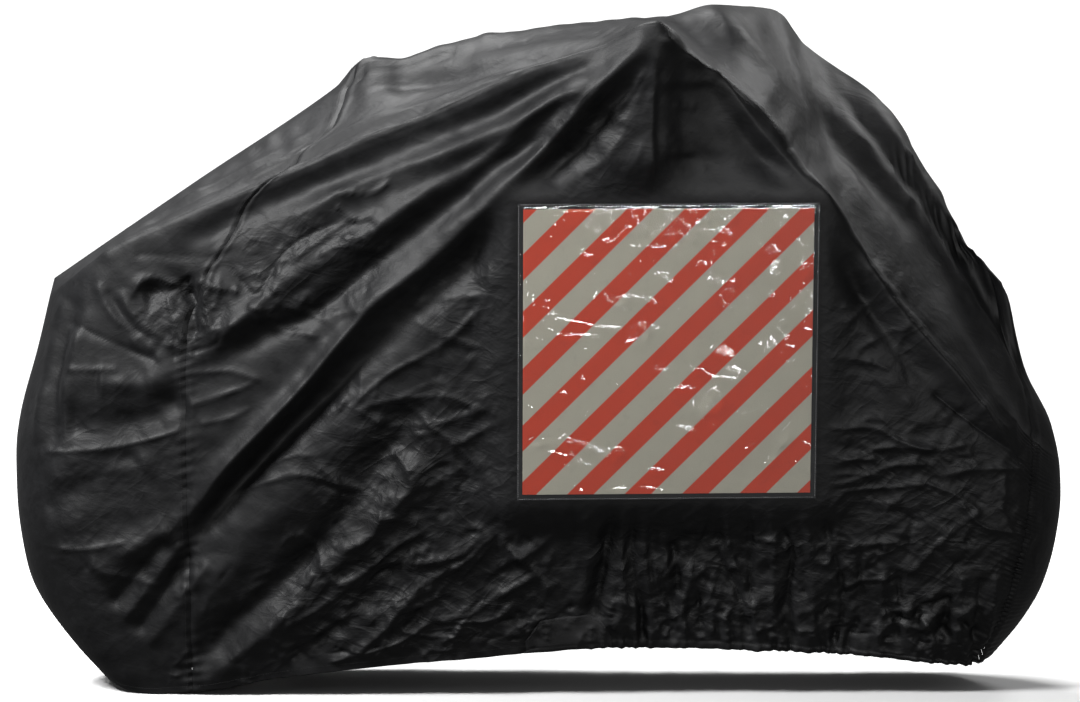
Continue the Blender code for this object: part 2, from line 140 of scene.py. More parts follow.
# Rails along the cover: columns are x, y, z.
NEAR_HEM = (
    (-0.8, -0.1, 0.056),
    (-0.765, -0.106, 0.022),
    (-0.73, -0.11, 0.006),
    (-0.682, -0.115, 0.0),
    (-0.62, -0.12, 0.004),
    (-0.457, -0.132, 0.032),
    (-0.277, -0.14, 0.054),
    (0.002, -0.142, 0.079),
    (0.1, -0.136, 0.086),
    (0.19, -0.13, 0.086),
    (0.419, -0.126, 0.08),
    (0.597, -0.12, 0.068),
    (0.765, -0.108, 0.05),
    (0.812, -0.1, 0.056),
)
NEAR_SHOULDER = (
    (-0.866, -0.1, 0.695),
    (-0.754, -0.122, 0.786),
    (-0.617, -0.142, 0.85),
    (-0.479, -0.163, 0.91),
    (-0.337, -0.186, 0.974),
    (-0.185, -0.212, 1.036),
    (0.0, -0.246, 1.122),
    (0.106, -0.268, 1.16),
    (0.198, -0.292, 1.196),
    (0.255, -0.252, 1.146),
    (0.318, -0.222, 1.09),
    (0.382, -0.216, 1.034),
    (0.455, -0.206, 0.944),
    (0.538, -0.19, 0.812),
    (0.597, -0.18, 0.75),
    (0.704, -0.158, 0.62),
    (0.778, -0.138, 0.522),
    (0.863, -0.114, 0.436),
    (0.926, -0.1, 0.388),
)
CROWN = (
    (-0.858, 0.0, 0.725),
    (-0.6, 0.0, 0.901),
    (-0.351, 0.0, 1.07),
    (-0.296, 0.0, 1.118),
    (-0.245, 0.002, 1.11),
    (-0.171, 0.008, 1.134),
    (-0.081, 0.014, 1.154),
    (0.0, 0.02, 1.163),
    (0.175, 0.024, 1.176),
    (0.24, 0.024, 1.19),
    (0.305, 0.03, 1.208),
    (0.36, 0.115, 1.202),
    (0.424, 0.245, 1.19),
    (0.472, 0.246, 1.134),
    (0.541, 0.226, 1.084),
    (0.597, 0.198, 1.046),
    (0.628, 0.178, 1.012),
    (0.716, 0.1, 0.86),
    (0.782, 0.045, 0.76),
    (0.815, 0.0, 0.722),
)
FAR_SHOULDER = (
    (-0.866, 0.1, 0.695),
    (-0.754, 0.12, 0.782),
    (-0.617, 0.142, 0.842),
    (-0.479, 0.162, 0.894),
    (-0.337, 0.183, 0.942),
    (-0.185, 0.208, 0.986),
    (0.0, 0.234, 1.028),
    (0.2, 0.264, 1.064),
    (0.33, 0.283, 1.082),
    (0.424, 0.292, 1.074),
    (0.5, 0.282, 1.01),
    (0.6, 0.256, 0.89),
    (0.7, 0.206, 0.74),
    (0.8, 0.15, 0.57),
    (0.863, 0.12, 0.46),
    (0.926, 0.1, 0.388),
)
# Seams on the near side, and mirrored on the far side: columns are around, x.
REAR_SEAM = (
    (0.0, -0.611),
    (0.3, -0.614),
    (0.6, -0.616),
    (0.74, -0.612),
    (0.84, -0.578),
    (0.9, -0.536),
    (0.96, -0.508),
    (1.0, -0.48),
    (1.12, -0.425),
    (1.26, -0.398),
    (1.36, -0.36),
    (1.6, -0.347),
    (1.88, -0.335),
    (2.0, -0.3),
)
FRONT_SEAM = (
    (0.0, 0.772),
    (0.2, 0.814),
    (0.35, 0.832),
    (0.55, 0.85),
    (0.75, 0.864),
    (1.0, 0.868),
    (1.28, 0.862),
    (1.5, 0.836),
    (1.7, 0.812),
    (1.86, 0.796),
    (2.0, 0.775),
)


# ---- sizes of the pieces ----
SEAM_GAP = 0.0004         # between panels, at the middle of a seam's groove
HEM_TURN = 0.0032         # how far the hem's edge is turned in
BOARD_GAP = 0.0004        # between the board's back and its plane
BOARD_BEVEL = 0.0005
FILM_GRID = 290
STITCH_SHARE = 0.66       # part of each pitch that a stitch covers
STITCH_WIDTH = 0.0007
HEM_PITCH = 0.0042
SEAM_PITCH = 0.004
POCKET_PITCH = 0.004

# Rows of a panel's grid up the cloth: columns are rows so far, around. A hem's turned-in edge is past 0 or 4.
SIDE_ROWS = (
    (0, -0.01), (3, -0.001), (6, 0.003), (42, 0.08), (150, 0.56), (208, 0.88), (236, 1.06),
    (252, 1.9994),
)
FAR_ROWS = (
    (0, -0.01), (3, -0.001), (6, 0.003), (26, 0.08),
      (80, 0.56), (104, 0.88), (118, 1.08), (138, 1.9994),
)
# A hood has the near side's rows and then the far side's, so that the edges of its seams meet theirs.
CROWN_ROW = SIDE_ROWS[-1][0]
HOOD_ROWS = (
    *SIDE_ROWS[:-1],
    (CROWN_ROW, 2.0),
    *((CROWN_ROW + FAR_ROWS[-1][0] - row, 4 - around) for row, around in reversed(FAR_ROWS[:-1])),
)

# Lamps of the studio: columns are name, place, target, size, power, and whether it lights more than gloss.
LAMPS = (
    ("side_light", (-2.2, -1.5, 2.8), (0.0, 0.0, 0.5), (0.9, 0.9), 205.0, True),
    ("strip_light", (0.9, -3.4, 2.6), (0.2, -0.2, 0.6), (1.3, 0.22), 60.0, False),
    ("film_light", (-2.6, -3.0, 0.8), (0.2, -0.2, 0.6), (0.08, 0.9), 15.0, False),
    ("film_light", (2.9, -3.0, 0.9), (0.2, -0.2, 0.6), (0.08, 0.9), 15.0, False),
    ("film_light", (-1.2, -3.6, 1.9), (0.2, -0.2, 0.6), (0.08, 0.9), 15.0, False),
    ("film_light", (1.5, -3.5, 0.8), (0.2, -0.2, 0.6), (0.08, 0.9), 15.0, False),
    ("back_light", (1.9, 1.7, 2.6), (0.4, 0.0, 1.0), (0.8, 0.8), 26.0, True),
)
LOOK_AT = (0.0017, -0.2, 0.6209)

# Wrinkles of the film, from the board's centre: columns are route, half width, height, roundness.
FILM_WRINKLES = (
    (((-0.213, 0.076), (-0.198, 0.059),
      (-0.166, 0.055), (-0.121, 0.045), (-0.068, 0.04)), 0.0035, 0.0028, 1.3),
    (((-0.213, 0.066), (-0.213, 0.047),
      (-0.192, 0.03), (-0.147, 0.03), (-0.121, 0.025)), 0.0035, 0.0028, 1.3),
    (((-0.115, 0.106), (-0.098, 0.085), (-0.08, 0.097),
      (-0.046, 0.095), (-0.02, 0.085), (-0.014, 0.098)), 0.0035, 0.0027, 1.3),
    (((-0.08, 0.017), (-0.057, 0.021), (-0.031, 0.044), (-0.016, 0.04)), 0.0034, 0.0025, 1.3),
    (((-0.068, 0.04), (-0.055, 0.048), (-0.038, 0.045)), 0.0034, 0.0025, 1.3),
    (((-0.2, 0.219), (-0.177, 0.234), (-0.185, 0.245), (-0.198, 0.236)), 0.0033, 0.0023, 1.3),
    (((-0.177, 0.245), (-0.155, 0.247), (-0.132, 0.245)), 0.0033, 0.0023, 1.3),
    (((-0.095, 0.23), (-0.125, 0.211),
      (-0.138, 0.221), (-0.125, 0.238), (-0.091, 0.245)), 0.0034, 0.0025, 1.3),
    (((-0.121, 0.196), (-0.095, 0.192), (-0.078, 0.215), (-0.061, 0.219)), 0.0033, 0.0023, 1.3),
    (((-0.065, 0.241), (-0.057, 0.226), (-0.048, 0.209)), 0.0034, 0.0025, 1.3),
    (((-0.061, 0.192), (-0.027, 0.207), (-0.001, 0.234), (-0.005, 0.246)), 0.0034, 0.0025, 1.3),
    (((-0.006, 0.198), (0.001, 0.215), (0.007, 0.238)), 0.0035, 0.0027, 1.3),
    (((0.015, 0.238), (0.014, 0.219), (0.024, 0.202), (0.031, 0.205), (0.022, 0.234)), 0.0034, 0.0025, 1.3),
    (((0.033, 0.247), (0.044, 0.23)), 0.0033, 0.0023, 1.3),
    (((-0.083, 0.181), (-0.05, 0.186), (-0.02, 0.182), (0.014, 0.186)), 0.0033, 0.0023, 1.3),
    (((0.061, 0.24), (0.065, 0.207), (0.086, 0.211), (0.106, 0.2)), 0.0035, 0.0027, 1.3),
    (((0.082, 0.243), (0.097, 0.23), (0.114, 0.247)), 0.0033, 0.0023, 1.3),
    (((0.046, 0.142), (0.05, 0.156), (0.074, 0.15)), 0.0034, 0.0025, 1.3),
    (((-0.027, 0.135), (-0.01, 0.139), (-0.005, 0.122), (0.009, 0.123)), 0.0034, 0.0025, 1.3),
    (((0.063, 0.118), (0.07, 0.127), (0.08, 0.125)), 0.0033, 0.0023, 1.3),
    (((0.089, 0.116), (0.102, 0.122), (0.117, 0.122)), 0.0033, 0.0023, 1.3),
    (((0.224, 0.131), (0.236, 0.15), (0.249, 0.144), (0.251, 0.127)), 0.0034, 0.0025, 1.3),
    (((-0.249, -0.158), (-0.203, -0.149),
      (-0.162, -0.158), (-0.117, -0.176), (-0.11, -0.192)), 0.0035, 0.0027, 1.3),
    (((-0.117, -0.176), (-0.098, -0.17), (-0.083, -0.171)), 0.0033, 0.0023, 1.3),
    (((-0.226, -0.17), (-0.177, -0.181), (-0.128, -0.204)), 0.0034, 0.0025, 1.3),
    (((0.044, -0.116), (0.057, -0.092),
      (0.08, -0.065), (0.089, -0.078), (0.061, -0.109)), 0.0036, 0.0029, 1.3),
    (((0.014, -0.133), (0.031, -0.135), (0.05, -0.149)), 0.0036, 0.0031, 1.3),
    (((0.149, -0.215), (0.176, -0.192), (0.194, -0.151), (0.211, -0.126)), 0.0034, 0.0025, 1.3),
    (((-0.05, -0.208), (-0.027, -0.206), (-0.001, -0.213)), 0.0033, 0.0023, 1.3),
    (((-0.102, -0.242), (-0.05, -0.239), (-0.005, -0.244)), 0.0033, 0.0023, 1.3),
    (((0.19, 0.036), (0.191, 0.05), (0.2, 0.053)), 0.0033, 0.0023, 1.3),
    (((0.228, 0.042), (0.236, 0.055), (0.244, 0.07)), 0.0033, 0.0023, 1.3),
    (((0.003, -0.065), (0.037, -0.065)), 0.0033, 0.0023, 1.3),
    (((0.07, -0.044), (0.093, -0.044), (0.119, -0.053)), 0.0034, 0.0025, 1.3),
    (((0.159, -0.021), (0.165, -0.0)), 0.0033, 0.0023, 1.3),
    (((0.039, -0.04), (0.055, -0.029), (0.072, -0.044)), 0.0033, 0.0023, 1.3),
    (((-0.155, -0.044), (-0.14, -0.047)), 0.0033, 0.0023, 1.3),
    (((-0.185, -0.069), (-0.173, -0.074)), 0.0033, 0.0023, 1.3),
    (((-0.241, -0.093), (-0.232, -0.099)), 0.0034, 0.0025, 1.3),
    (((-0.106, -0.189), (-0.08, -0.166)), 0.0033, 0.0023, 1.3),
    (((-0.151, 0.173), (-0.132, 0.165)), 0.0033, 0.0023, 1.3),
    (((0.101, -0.029), (0.112, -0.034)), 0.0034, 0.0025, 1.3),
)
# Small wrinkles strewn over the film: columns are right, up, half width, half height, direction, spread,
# count, height.
FILM_STREWN = (
    (-0.06, 0.222, 0.16, 0.028, 12.0, 45.0, 34, 0.0013),
    (-0.19, 0.05, 0.055, 0.06, -40.0, 35.0, 18, 0.0013),
    (0.08, -0.06, 0.06, 0.09, -60.0, 40.0, 18, 0.0011),
    (-0.16, -0.19, 0.07, 0.045, -20.0, 45.0, 16, 0.0011),
    (0.215, 0.1, 0.035, 0.1, -50.0, 40.0, 16, 0.0011),
    (0.18, -0.205, 0.06, 0.04, 0.0, 45.0, 12, 0.001),
)
# ---- folds and creases ----
# Columns are route, half width, height out of the cloth (a trough is below 0), and roundness of the crest
# (2 is a soft roll, 1 is a sharp crease). Side routes are in x and z.
MAIN_FOLDS = (
    # the long fold from the near grip down to the rear hem, with the troughs that run beside it
    (((0.195, 1.172), (0.107, 1.08), (-0.117, 0.846), (-0.196, 0.772), (-0.277, 0.709), (-0.337, 0.644),
      (-0.407, 0.559), (-0.467, 0.495), (-0.545, 0.414),
      (-0.609, 0.332), (-0.652, 0.3)), 0.019, 0.022, 1.5),
    (((-0.64, 0.305), (-0.712, 0.266), (-0.785, 0.223)), 0.024, 0.012, 1.7),
    (((0.173, 1.12), (0.038, 0.955), (-0.1, 0.798), (-0.248, 0.665), (-0.36, 0.552), (-0.42, 0.495),
      (-0.479, 0.432), (-0.54, 0.36), (-0.6, 0.285), (-0.63, 0.215)), 0.026, -0.022, 2.0),
    (((-0.206, 0.534), (-0.331, 0.349), (-0.408, 0.249),
      (-0.515, 0.146), (-0.61, 0.05)), 0.026, -0.016, 2.0),
    (((-0.19, 0.439), (-0.261, 0.332), (-0.341, 0.262), (-0.42, 0.172), (-0.515, 0.09), (-0.599, 0.018)),
     0.024, 0.013, 1.7),
    (((-0.3, 0.5), (-0.4, 0.4), (-0.5, 0.29), (-0.59, 0.17)), 0.035, 0.01, 2.0),
    (((-0.24, 0.235), (-0.34, 0.14), (-0.44, 0.06)), 0.022, -0.01, 1.8),
    # the middle fold, which runs into the pinch at the rear seam
    (((0.126, 1.11), (0.002, 1.042), (-0.097, 0.955), (-0.19, 0.9), (-0.258, 0.848), (-0.343, 0.795),
      (-0.397, 0.768), (-0.457, 0.722), (-0.5, 0.685),
      (-0.55, 0.642), (-0.603, 0.6)), 0.022, 0.016, 1.6),
    (((0.035, 1.012), (-0.051, 0.949), (-0.156, 0.876), (-0.229, 0.823), (-0.277, 0.78), (-0.338, 0.726),
      (-0.408, 0.676), (-0.467, 0.652), (-0.517, 0.622), (-0.574, 0.59)), 0.024, -0.016, 1.9),
    (((0.02, 0.985), (-0.12, 0.868), (-0.26, 0.745), (-0.33, 0.69)), 0.02, 0.007, 1.8),
    # under the near shoulder
    (((0.106, 1.12), (0.001, 1.074), (-0.1, 1.024), (-0.218, 0.978), (-0.337, 0.926), (-0.48, 0.868),
      (-0.622, 0.8)), 0.026, -0.015, 2.0),
    (((0.087, 1.1), (-0.034, 1.03), (-0.164, 0.966), (-0.247, 0.936), (-0.338, 0.898), (-0.43, 0.846)),
     0.02, 0.01, 1.6),
    (((0.06, 1.068), (-0.05, 0.996), (-0.16, 0.93), (-0.24, 0.89)), 0.016, -0.009, 1.8),
    # the fan from the bar down to the front wheel
    (((0.3, 1.112), (0.34, 1.056), (0.38, 1.0), (0.43, 0.945), (0.478, 0.893), (0.54, 0.812),
      (0.605, 0.715), (0.703, 0.598), (0.779, 0.497), (0.84, 0.42)), 0.017, 0.014, 1.4),
    (((0.33, 1.03), (0.41, 0.925), (0.5, 0.8), (0.59, 0.67), (0.69, 0.55)), 0.022, -0.011, 1.9),
    (((0.312, 1.19), (0.347, 1.155), (0.382, 1.112), (0.44, 1.045), (0.489, 0.992), (0.539, 0.925),
      (0.607, 0.832), (0.695, 0.706), (0.772, 0.575), (0.85, 0.455)), 0.016, 0.015, 1.4),
    (((0.4, 1.06), (0.47, 0.965), (0.545, 0.85), (0.63, 0.722), (0.72, 0.59)), 0.018, -0.011, 1.8),
    (((0.394, 1.139), (0.444, 1.083), (0.525, 1.01), (0.581, 0.945), (0.638, 0.872), (0.728, 0.746),
      (0.798, 0.634), (0.875, 0.5)), 0.015, 0.014, 1.4),
    (((0.47, 1.02), (0.56, 0.91), (0.65, 0.775), (0.74, 0.64), (0.82, 0.505)), 0.018, -0.012, 1.8),
    (((0.74, 0.79), (0.79, 0.7), (0.84, 0.61), (0.872, 0.54)), 0.018, -0.02, 1.8),
    (((0.437, 0.984), (0.476, 0.936)), 0.012, -0.005, 1.6),
    (((0.595, 0.779), (0.645, 0.715)), 0.007, 0.004, 1.1),
    # the facet below the bar, and the crease straight down from the grip
    (((0.205, 1.172), (0.261, 1.128), (0.311, 1.096)), 0.01, 0.007, 1.3),
    (((0.198, 1.15), (0.194, 1.034), (0.192, 0.89)), 0.009, 0.004, 1.2),
    (((0.208, 1.12), (0.204, 1.0), (0.202, 0.89)), 0.012, -0.0035, 1.6),
    (((0.26, 1.09), (0.262, 0.98), (0.262, 0.89)), 0.04, -0.008, 2.0),
    (((0.12, 1.04), (0.06, 0.95), (0.02, 0.89)), 0.035, -0.008, 2.0),
    # rolls and bands round the rear wheel
    (((-0.838, 0.706), (-0.868, 0.564), (-0.884, 0.44)), 0.016, 0.01, 1.7),
    (((-0.812, 0.706), (-0.842, 0.578), (-0.854, 0.438)), 0.015, -0.009, 1.9),
    (((-0.798, 0.66), (-0.818, 0.571), (-0.836, 0.5)), 0.015, 0.007, 1.8),
    (((-0.83, 0.488), (-0.74, 0.484), (-0.68, 0.5), (-0.615, 0.54)), 0.028, -0.012, 2.0),
    (((-0.77, 0.56), (-0.69, 0.558), (-0.63, 0.585)), 0.024, 0.01, 1.8),
    (((-0.868, 0.329), (-0.799, 0.383), (-0.692, 0.432)), 0.024, -0.008, 2.0),
    (((-0.86, 0.395), (-0.76, 0.405), (-0.66, 0.425)), 0.022, 0.006, 1.8),
    (((-0.651, 0.285), (-0.755, 0.158)), 0.012, -0.007, 1.7),
    (((-0.624, 0.276), (-0.73, 0.138)), 0.012, 0.007, 1.5),
    (((-0.605, 0.262), (-0.713, 0.108)), 0.012, -0.007, 1.7),
    (((-0.576, 0.246), (-0.688, 0.088)), 0.014, 0.006, 1.6),
)
CREASES = (
    # rear wheel
    (((-0.869, 0.433), (-0.755, 0.444), (-0.692, 0.457), (-0.622, 0.478)), 0.006, 0.0045, 1.1),
    (((-0.878, 0.266), (-0.808, 0.264), (-0.717, 0.281)), 0.006, 0.0045, 1.1),
    (((-0.828, 0.662), (-0.754, 0.634), (-0.665, 0.598)), 0.006, -0.005, 1.1),
    (((-0.822, 0.58), (-0.73, 0.583)), 0.0055, 0.004, 1.1),
    (((-0.774, 0.732), (-0.736, 0.673), (-0.675, 0.623), (-0.652, 0.592)), 0.009, 0.006, 1.3),
    (((-0.729, 0.721), (-0.707, 0.68), (-0.664, 0.645), (-0.617, 0.619)), 0.009, 0.006, 1.3),
    (((-0.755, 0.72), (-0.722, 0.67), (-0.668, 0.63)), 0.008, -0.005, 1.5),
    (((-0.706, 0.782), (-0.635, 0.78), (-0.55, 0.781)), 0.008, -0.003, 1.3),
    (((-0.79, 0.235), (-0.72, 0.215), (-0.66, 0.2)), 0.008, 0.003, 1.4),
    # the dark pocket over the pinch
    (((-0.712, 0.705), (-0.69, 0.734), (-0.665, 0.743),
      (-0.636, 0.732), (-0.56, 0.735)), 0.009, 0.007, 1.3),
    (((-0.69, 0.712), (-0.655, 0.721), (-0.59, 0.713)), 0.018, -0.011, 1.8),
    (((-0.62, 0.745), (-0.6, 0.69), (-0.595, 0.64)), 0.014, -0.015, 1.7),
    (((-0.635, 0.722), (-0.598, 0.684), (-0.573, 0.652)), 0.0065, 0.008, 1.2),
    (((-0.647, 0.714), (-0.632, 0.67), (-0.615, 0.63)), 0.006, 0.007, 1.2),
    (((-0.581, 0.72), (-0.575, 0.69), (-0.566, 0.655)), 0.006, 0.0075, 1.2),
    (((-0.576, 0.73), (-0.516, 0.722)), 0.0065, 0.006, 1.2),
    (((-0.539, 0.767), (-0.49, 0.716), (-0.462, 0.758),
      (-0.439, 0.794), (-0.342, 0.848)), 0.0065, -0.006, 1.1),
    (((-0.6, 0.64), (-0.56, 0.655), (-0.52, 0.668)), 0.006, 0.006, 1.1),
    (((-0.605, 0.615), (-0.57, 0.625), (-0.545, 0.648)), 0.006, -0.006, 1.2),
    (((-0.5, 0.7), (-0.478, 0.69), (-0.452, 0.694)), 0.006, 0.006, 1.1),
    (((-0.492, 0.672), (-0.47, 0.68), (-0.45, 0.675)), 0.0055, 0.0055, 1.1),
    (((-0.484, 0.716), (-0.465, 0.722), (-0.448, 0.708)), 0.0055, -0.005, 1.2),
    # between the pinch and the long fold
    (((-0.609, 0.521), (-0.565, 0.535), (-0.491, 0.564)), 0.0055, 0.0045, 1.1),
    (((-0.605, 0.577), (-0.543, 0.583), (-0.48, 0.568)), 0.006, 0.004, 1.2),
    (((-0.444, 0.698), (-0.366, 0.674)), 0.0055, 0.0045, 1.1),
    (((-0.467, 0.658), (-0.379, 0.646)), 0.0055, 0.0045, 1.1),
    (((-0.59, 0.49), (-0.54, 0.5), (-0.5, 0.52)), 0.006, 0.003, 1.2),
    # under the shoulder
    (((-0.362, 0.897), (-0.29, 0.895), (-0.253, 0.917)), 0.006, 0.0055, 1.1),
    (((-0.342, 0.819), (-0.301, 0.817), (-0.28, 0.795), (-0.253, 0.812)), 0.0055, 0.0055, 1.1),
    (((-0.379, 0.786), (-0.338, 0.805), (-0.283, 0.794)), 0.0055, 0.005, 1.1),
    (((-0.352, 0.872), (-0.311, 0.847), (-0.281, 0.861)), 0.0055, 0.005, 1.1),
    (((-0.33, 0.838), (-0.3, 0.846), (-0.276, 0.834)), 0.0055, -0.0045, 1.2),
    (((-0.42, 0.78), (-0.372, 0.818), (-0.33, 0.846)), 0.006, 0.004, 1.2),
    # the arc over the lower fold
    (((-0.575, 0.312), (-0.526, 0.365), (-0.468, 0.392), (-0.413, 0.405), (-0.368, 0.393), (-0.313, 0.365)),
     0.006, 0.0055, 1.1),
    (((-0.486, 0.404), (-0.431, 0.435), (-0.384, 0.438)), 0.0055, 0.0045, 1.1),
    (((-0.384, 0.42), (-0.339, 0.386), (-0.287, 0.362)), 0.006, 0.005, 1.1),
    (((-0.38, 0.392), (-0.33, 0.366), (-0.29, 0.372)), 0.0055, -0.004, 1.2),
    # between the long fold and the pocket
    (((-0.331, 0.518), (-0.26, 0.581), (-0.166, 0.635), (-0.081, 0.721)), 0.006, 0.0048, 1.1),
    (((-0.168, 0.714), (-0.081, 0.721), (-0.04, 0.689)), 0.0055, 0.0042, 1.1),
    (((-0.218, 0.677), (-0.158, 0.646), (-0.086, 0.624)), 0.0055, 0.0038, 1.1),
    (((-0.088, 0.776), (-0.081, 0.721)), 0.005, 0.0035, 1.1),
    (((-0.324, 0.515), (-0.243, 0.538), (-0.166, 0.544),
      (-0.097, 0.521), (-0.04, 0.506)), 0.006, 0.0052, 1.1),
    (((-0.243, 0.538), (-0.189, 0.494)), 0.0055, 0.0045, 1.1),
    (((-0.313, 0.518), (-0.266, 0.485)), 0.0055, 0.0045, 1.1),
    (((-0.266, 0.485), (-0.189, 0.494), (-0.097, 0.521)), 0.006, 0.0048, 1.1),
    (((-0.138, 0.465), (-0.087, 0.49), (-0.04, 0.516)), 0.006, 0.0055, 1.1),
    (((-0.171, 0.485), (-0.12, 0.43), (-0.073, 0.386), (-0.044, 0.448)), 0.0055, 0.0048, 1.1),
    (((-0.099, 0.395), (-0.063, 0.35), (-0.035, 0.375)), 0.006, 0.0055, 1.1),
    (((-0.135, 0.466), (-0.07, 0.386)), 0.0055, 0.004, 1.1),
    (((-0.193, 0.497), (-0.156, 0.461), (-0.139, 0.409)), 0.006, 0.0042, 1.1),
    (((-0.252, 0.439), (-0.219, 0.41)), 0.006, 0.005, 1.1),
    (((-0.222, 0.423), (-0.193, 0.384), (-0.164, 0.399)), 0.006, 0.0052, 1.1),
    (((-0.29, 0.47), (-0.24, 0.43), (-0.21, 0.37)), 0.006, 0.004, 1.2),
    # the crumpled lower middle
    (((-0.348, 0.269), (-0.289, 0.296), (-0.272, 0.33),
      (-0.225, 0.321), (-0.206, 0.306)), 0.0065, 0.0068, 1.1),
    (((-0.372, 0.23), (-0.349, 0.207), (-0.306, 0.227),
      (-0.251, 0.276), (-0.199, 0.303)), 0.0065, 0.007, 1.1),
    (((-0.222, 0.272), (-0.218, 0.245), (-0.144, 0.257),
      (-0.097, 0.298), (-0.08, 0.305)), 0.007, 0.0078, 1.1),
    (((-0.445, 0.133), (-0.379, 0.166), (-0.312, 0.221)), 0.0065, 0.006, 1.1),
    (((-0.08, 0.305), (-0.037, 0.259), (-0.003, 0.229)), 0.006, 0.0055, 1.1),
    (((-0.193, 0.142), (-0.129, 0.15), (-0.081, 0.18), (-0.003, 0.229)), 0.0065, 0.007, 1.1),
    (((-0.175, 0.14), (-0.1, 0.139), (-0.07, 0.148), (-0.046, 0.174)), 0.006, 0.0055, 1.1),
    (((-0.33, 0.073), (-0.277, 0.118), (-0.205, 0.205), (-0.129, 0.25), (-0.079, 0.301)), 0.011, 0.01, 1.3),
    (((-0.33, 0.073), (-0.249, 0.099), (-0.189, 0.138)), 0.007, 0.0065, 1.1),
    (((-0.139, 0.215), (-0.082, 0.281)), 0.006, 0.0055, 1.1),
    (((-0.051, 0.252), (-0.003, 0.273)), 0.006, 0.0055, 1.1),
    (((-0.068, 0.288), (-0.03, 0.255), (0.028, 0.302)), 0.0055, 0.0048, 1.1),
    (((-0.048, 0.257), (-0.003, 0.224), (0.021, 0.187)), 0.006, 0.0055, 1.1),
    (((-0.068, 0.186), (-0.003, 0.224)), 0.0055, 0.0048, 1.1),
    (((-0.3, 0.205), (-0.262, 0.232), (-0.232, 0.24)), 0.006, -0.0055, 1.2),
    (((-0.42, 0.092), (-0.35, 0.14), (-0.3, 0.16)), 0.0065, 0.0055, 1.1),
    (((-0.26, 0.17), (-0.215, 0.165), (-0.17, 0.19)), 0.006, 0.005, 1.1),
    (((-0.24, 0.12), (-0.18, 0.11), (-0.12, 0.118)), 0.006, 0.0045, 1.1),
    (((-0.42, 0.3), (-0.39, 0.27), (-0.376, 0.232)), 0.007, 0.005, 1.2),
    # gathers under the pocket, over the elastic
    (((0.137, 0.358), (0.12, 0.288), (0.11, 0.22), (0.094, 0.14)), 0.015, -0.018, 1.8),
    (((0.086, 0.35), (0.084, 0.26), (0.072, 0.16)), 0.016, 0.006, 1.8),
    (((0.059, 0.355), (0.061, 0.282)), 0.006, -0.004, 1.2),
    (((0.012, 0.35), (0.016, 0.29)), 0.008, -0.003, 1.4),
    (((0.17, 0.354), (0.163, 0.279), (0.175, 0.176), (0.185, 0.1)), 0.0075, -0.009, 1.3),
    (((0.152, 0.354), (0.144, 0.27), (0.152, 0.176), (0.16, 0.1)), 0.008, 0.008, 1.3),
    (((0.188, 0.35), (0.184, 0.27), (0.196, 0.18), (0.21, 0.11)), 0.008, 0.007, 1.3),
    (((0.206, 0.35), (0.235, 0.33)), 0.0055, 0.006, 1.1),
    (((0.233, 0.283), (0.24, 0.244), (0.246, 0.185)), 0.007, -0.008, 1.3),
    (((0.304, 0.348), (0.291, 0.296), (0.254, 0.232)), 0.007, -0.008, 1.2),
    (((0.315, 0.346), (0.311, 0.275), (0.343, 0.202), (0.375, 0.103)), 0.007, -0.008, 1.2),
    (((0.328, 0.35), (0.33, 0.28), (0.356, 0.21), (0.386, 0.11)), 0.0075, 0.007, 1.3),
    (((0.367, 0.354), (0.37, 0.242), (0.373, 0.105)), 0.0065, -0.009, 1.2),
    (((0.4, 0.35), (0.412, 0.29), (0.408, 0.19), (0.42, 0.1)), 0.009, 0.007, 1.4),
    (((0.419, 0.308), (0.444, 0.264), (0.438, 0.178), (0.455, 0.09)), 0.0075, -0.009, 1.2),
    (((0.462, 0.345), (0.474, 0.27), (0.48, 0.18), (0.486, 0.095)), 0.01, 0.007, 1.5),
    (((0.497, 0.329), (0.509, 0.281), (0.534, 0.176), (0.527, 0.095)), 0.0075, -0.009, 1.2),
    (((0.252, 0.303), (0.289, 0.333)), 0.0055, 0.006, 1.1),
    (((0.242, 0.318), (0.262, 0.33), (0.276, 0.346)), 0.0055, 0.0055, 1.1),
    (((0.308, 0.28), (0.344, 0.216)), 0.006, 0.0055, 1.1),
    (((0.373, 0.288), (0.42, 0.283), (0.436, 0.262)), 0.0055, 0.006, 1.1),
    (((0.47, 0.263), (0.502, 0.28)), 0.0055, 0.005, 1.1),
    (((0.201, 0.259), (0.212, 0.178), (0.242, 0.137)), 0.007, 0.0075, 1.2),
    (((0.27, 0.27), (0.262, 0.215), (0.25, 0.16), (0.262, 0.105)), 0.0075, 0.0075, 1.3),
    (((0.25, 0.223), (0.271, 0.216), (0.292, 0.232)), 0.006, 0.006, 1.1),
    (((0.277, 0.196), (0.287, 0.107)), 0.0065, -0.007, 1.3),
    (((0.3, 0.21), (0.306, 0.107)), 0.007, 0.006, 1.3),
    (((0.215, 0.3), (0.222, 0.24), (0.228, 0.185)), 0.008, 0.007, 1.4),
    (((0.56, 0.27), (0.563, 0.19), (0.556, 0.1)), 0.0085, -0.007, 1.4),
    (((0.6, 0.24), (0.603, 0.17), (0.596, 0.095)), 0.008, 0.0055, 1.4),
    (((0.63, 0.22), (0.634, 0.16), (0.628, 0.09)), 0.0075, -0.0065, 1.3),
    # right of the pocket
    (((0.488, 0.487), (0.574, 0.486), (0.635, 0.458), (0.689, 0.445), (0.759, 0.456)), 0.0058, 0.0062, 1.1),
    (((0.488, 0.441), (0.565, 0.429), (0.597, 0.434)), 0.0055, 0.0052, 1.1),
    (((0.498, 0.42), (0.566, 0.438), (0.599, 0.451), (0.69, 0.447)), 0.0055, 0.0058, 1.1),
    (((0.494, 0.381), (0.538, 0.39), (0.631, 0.419), (0.687, 0.421)), 0.0058, 0.0062, 1.1),
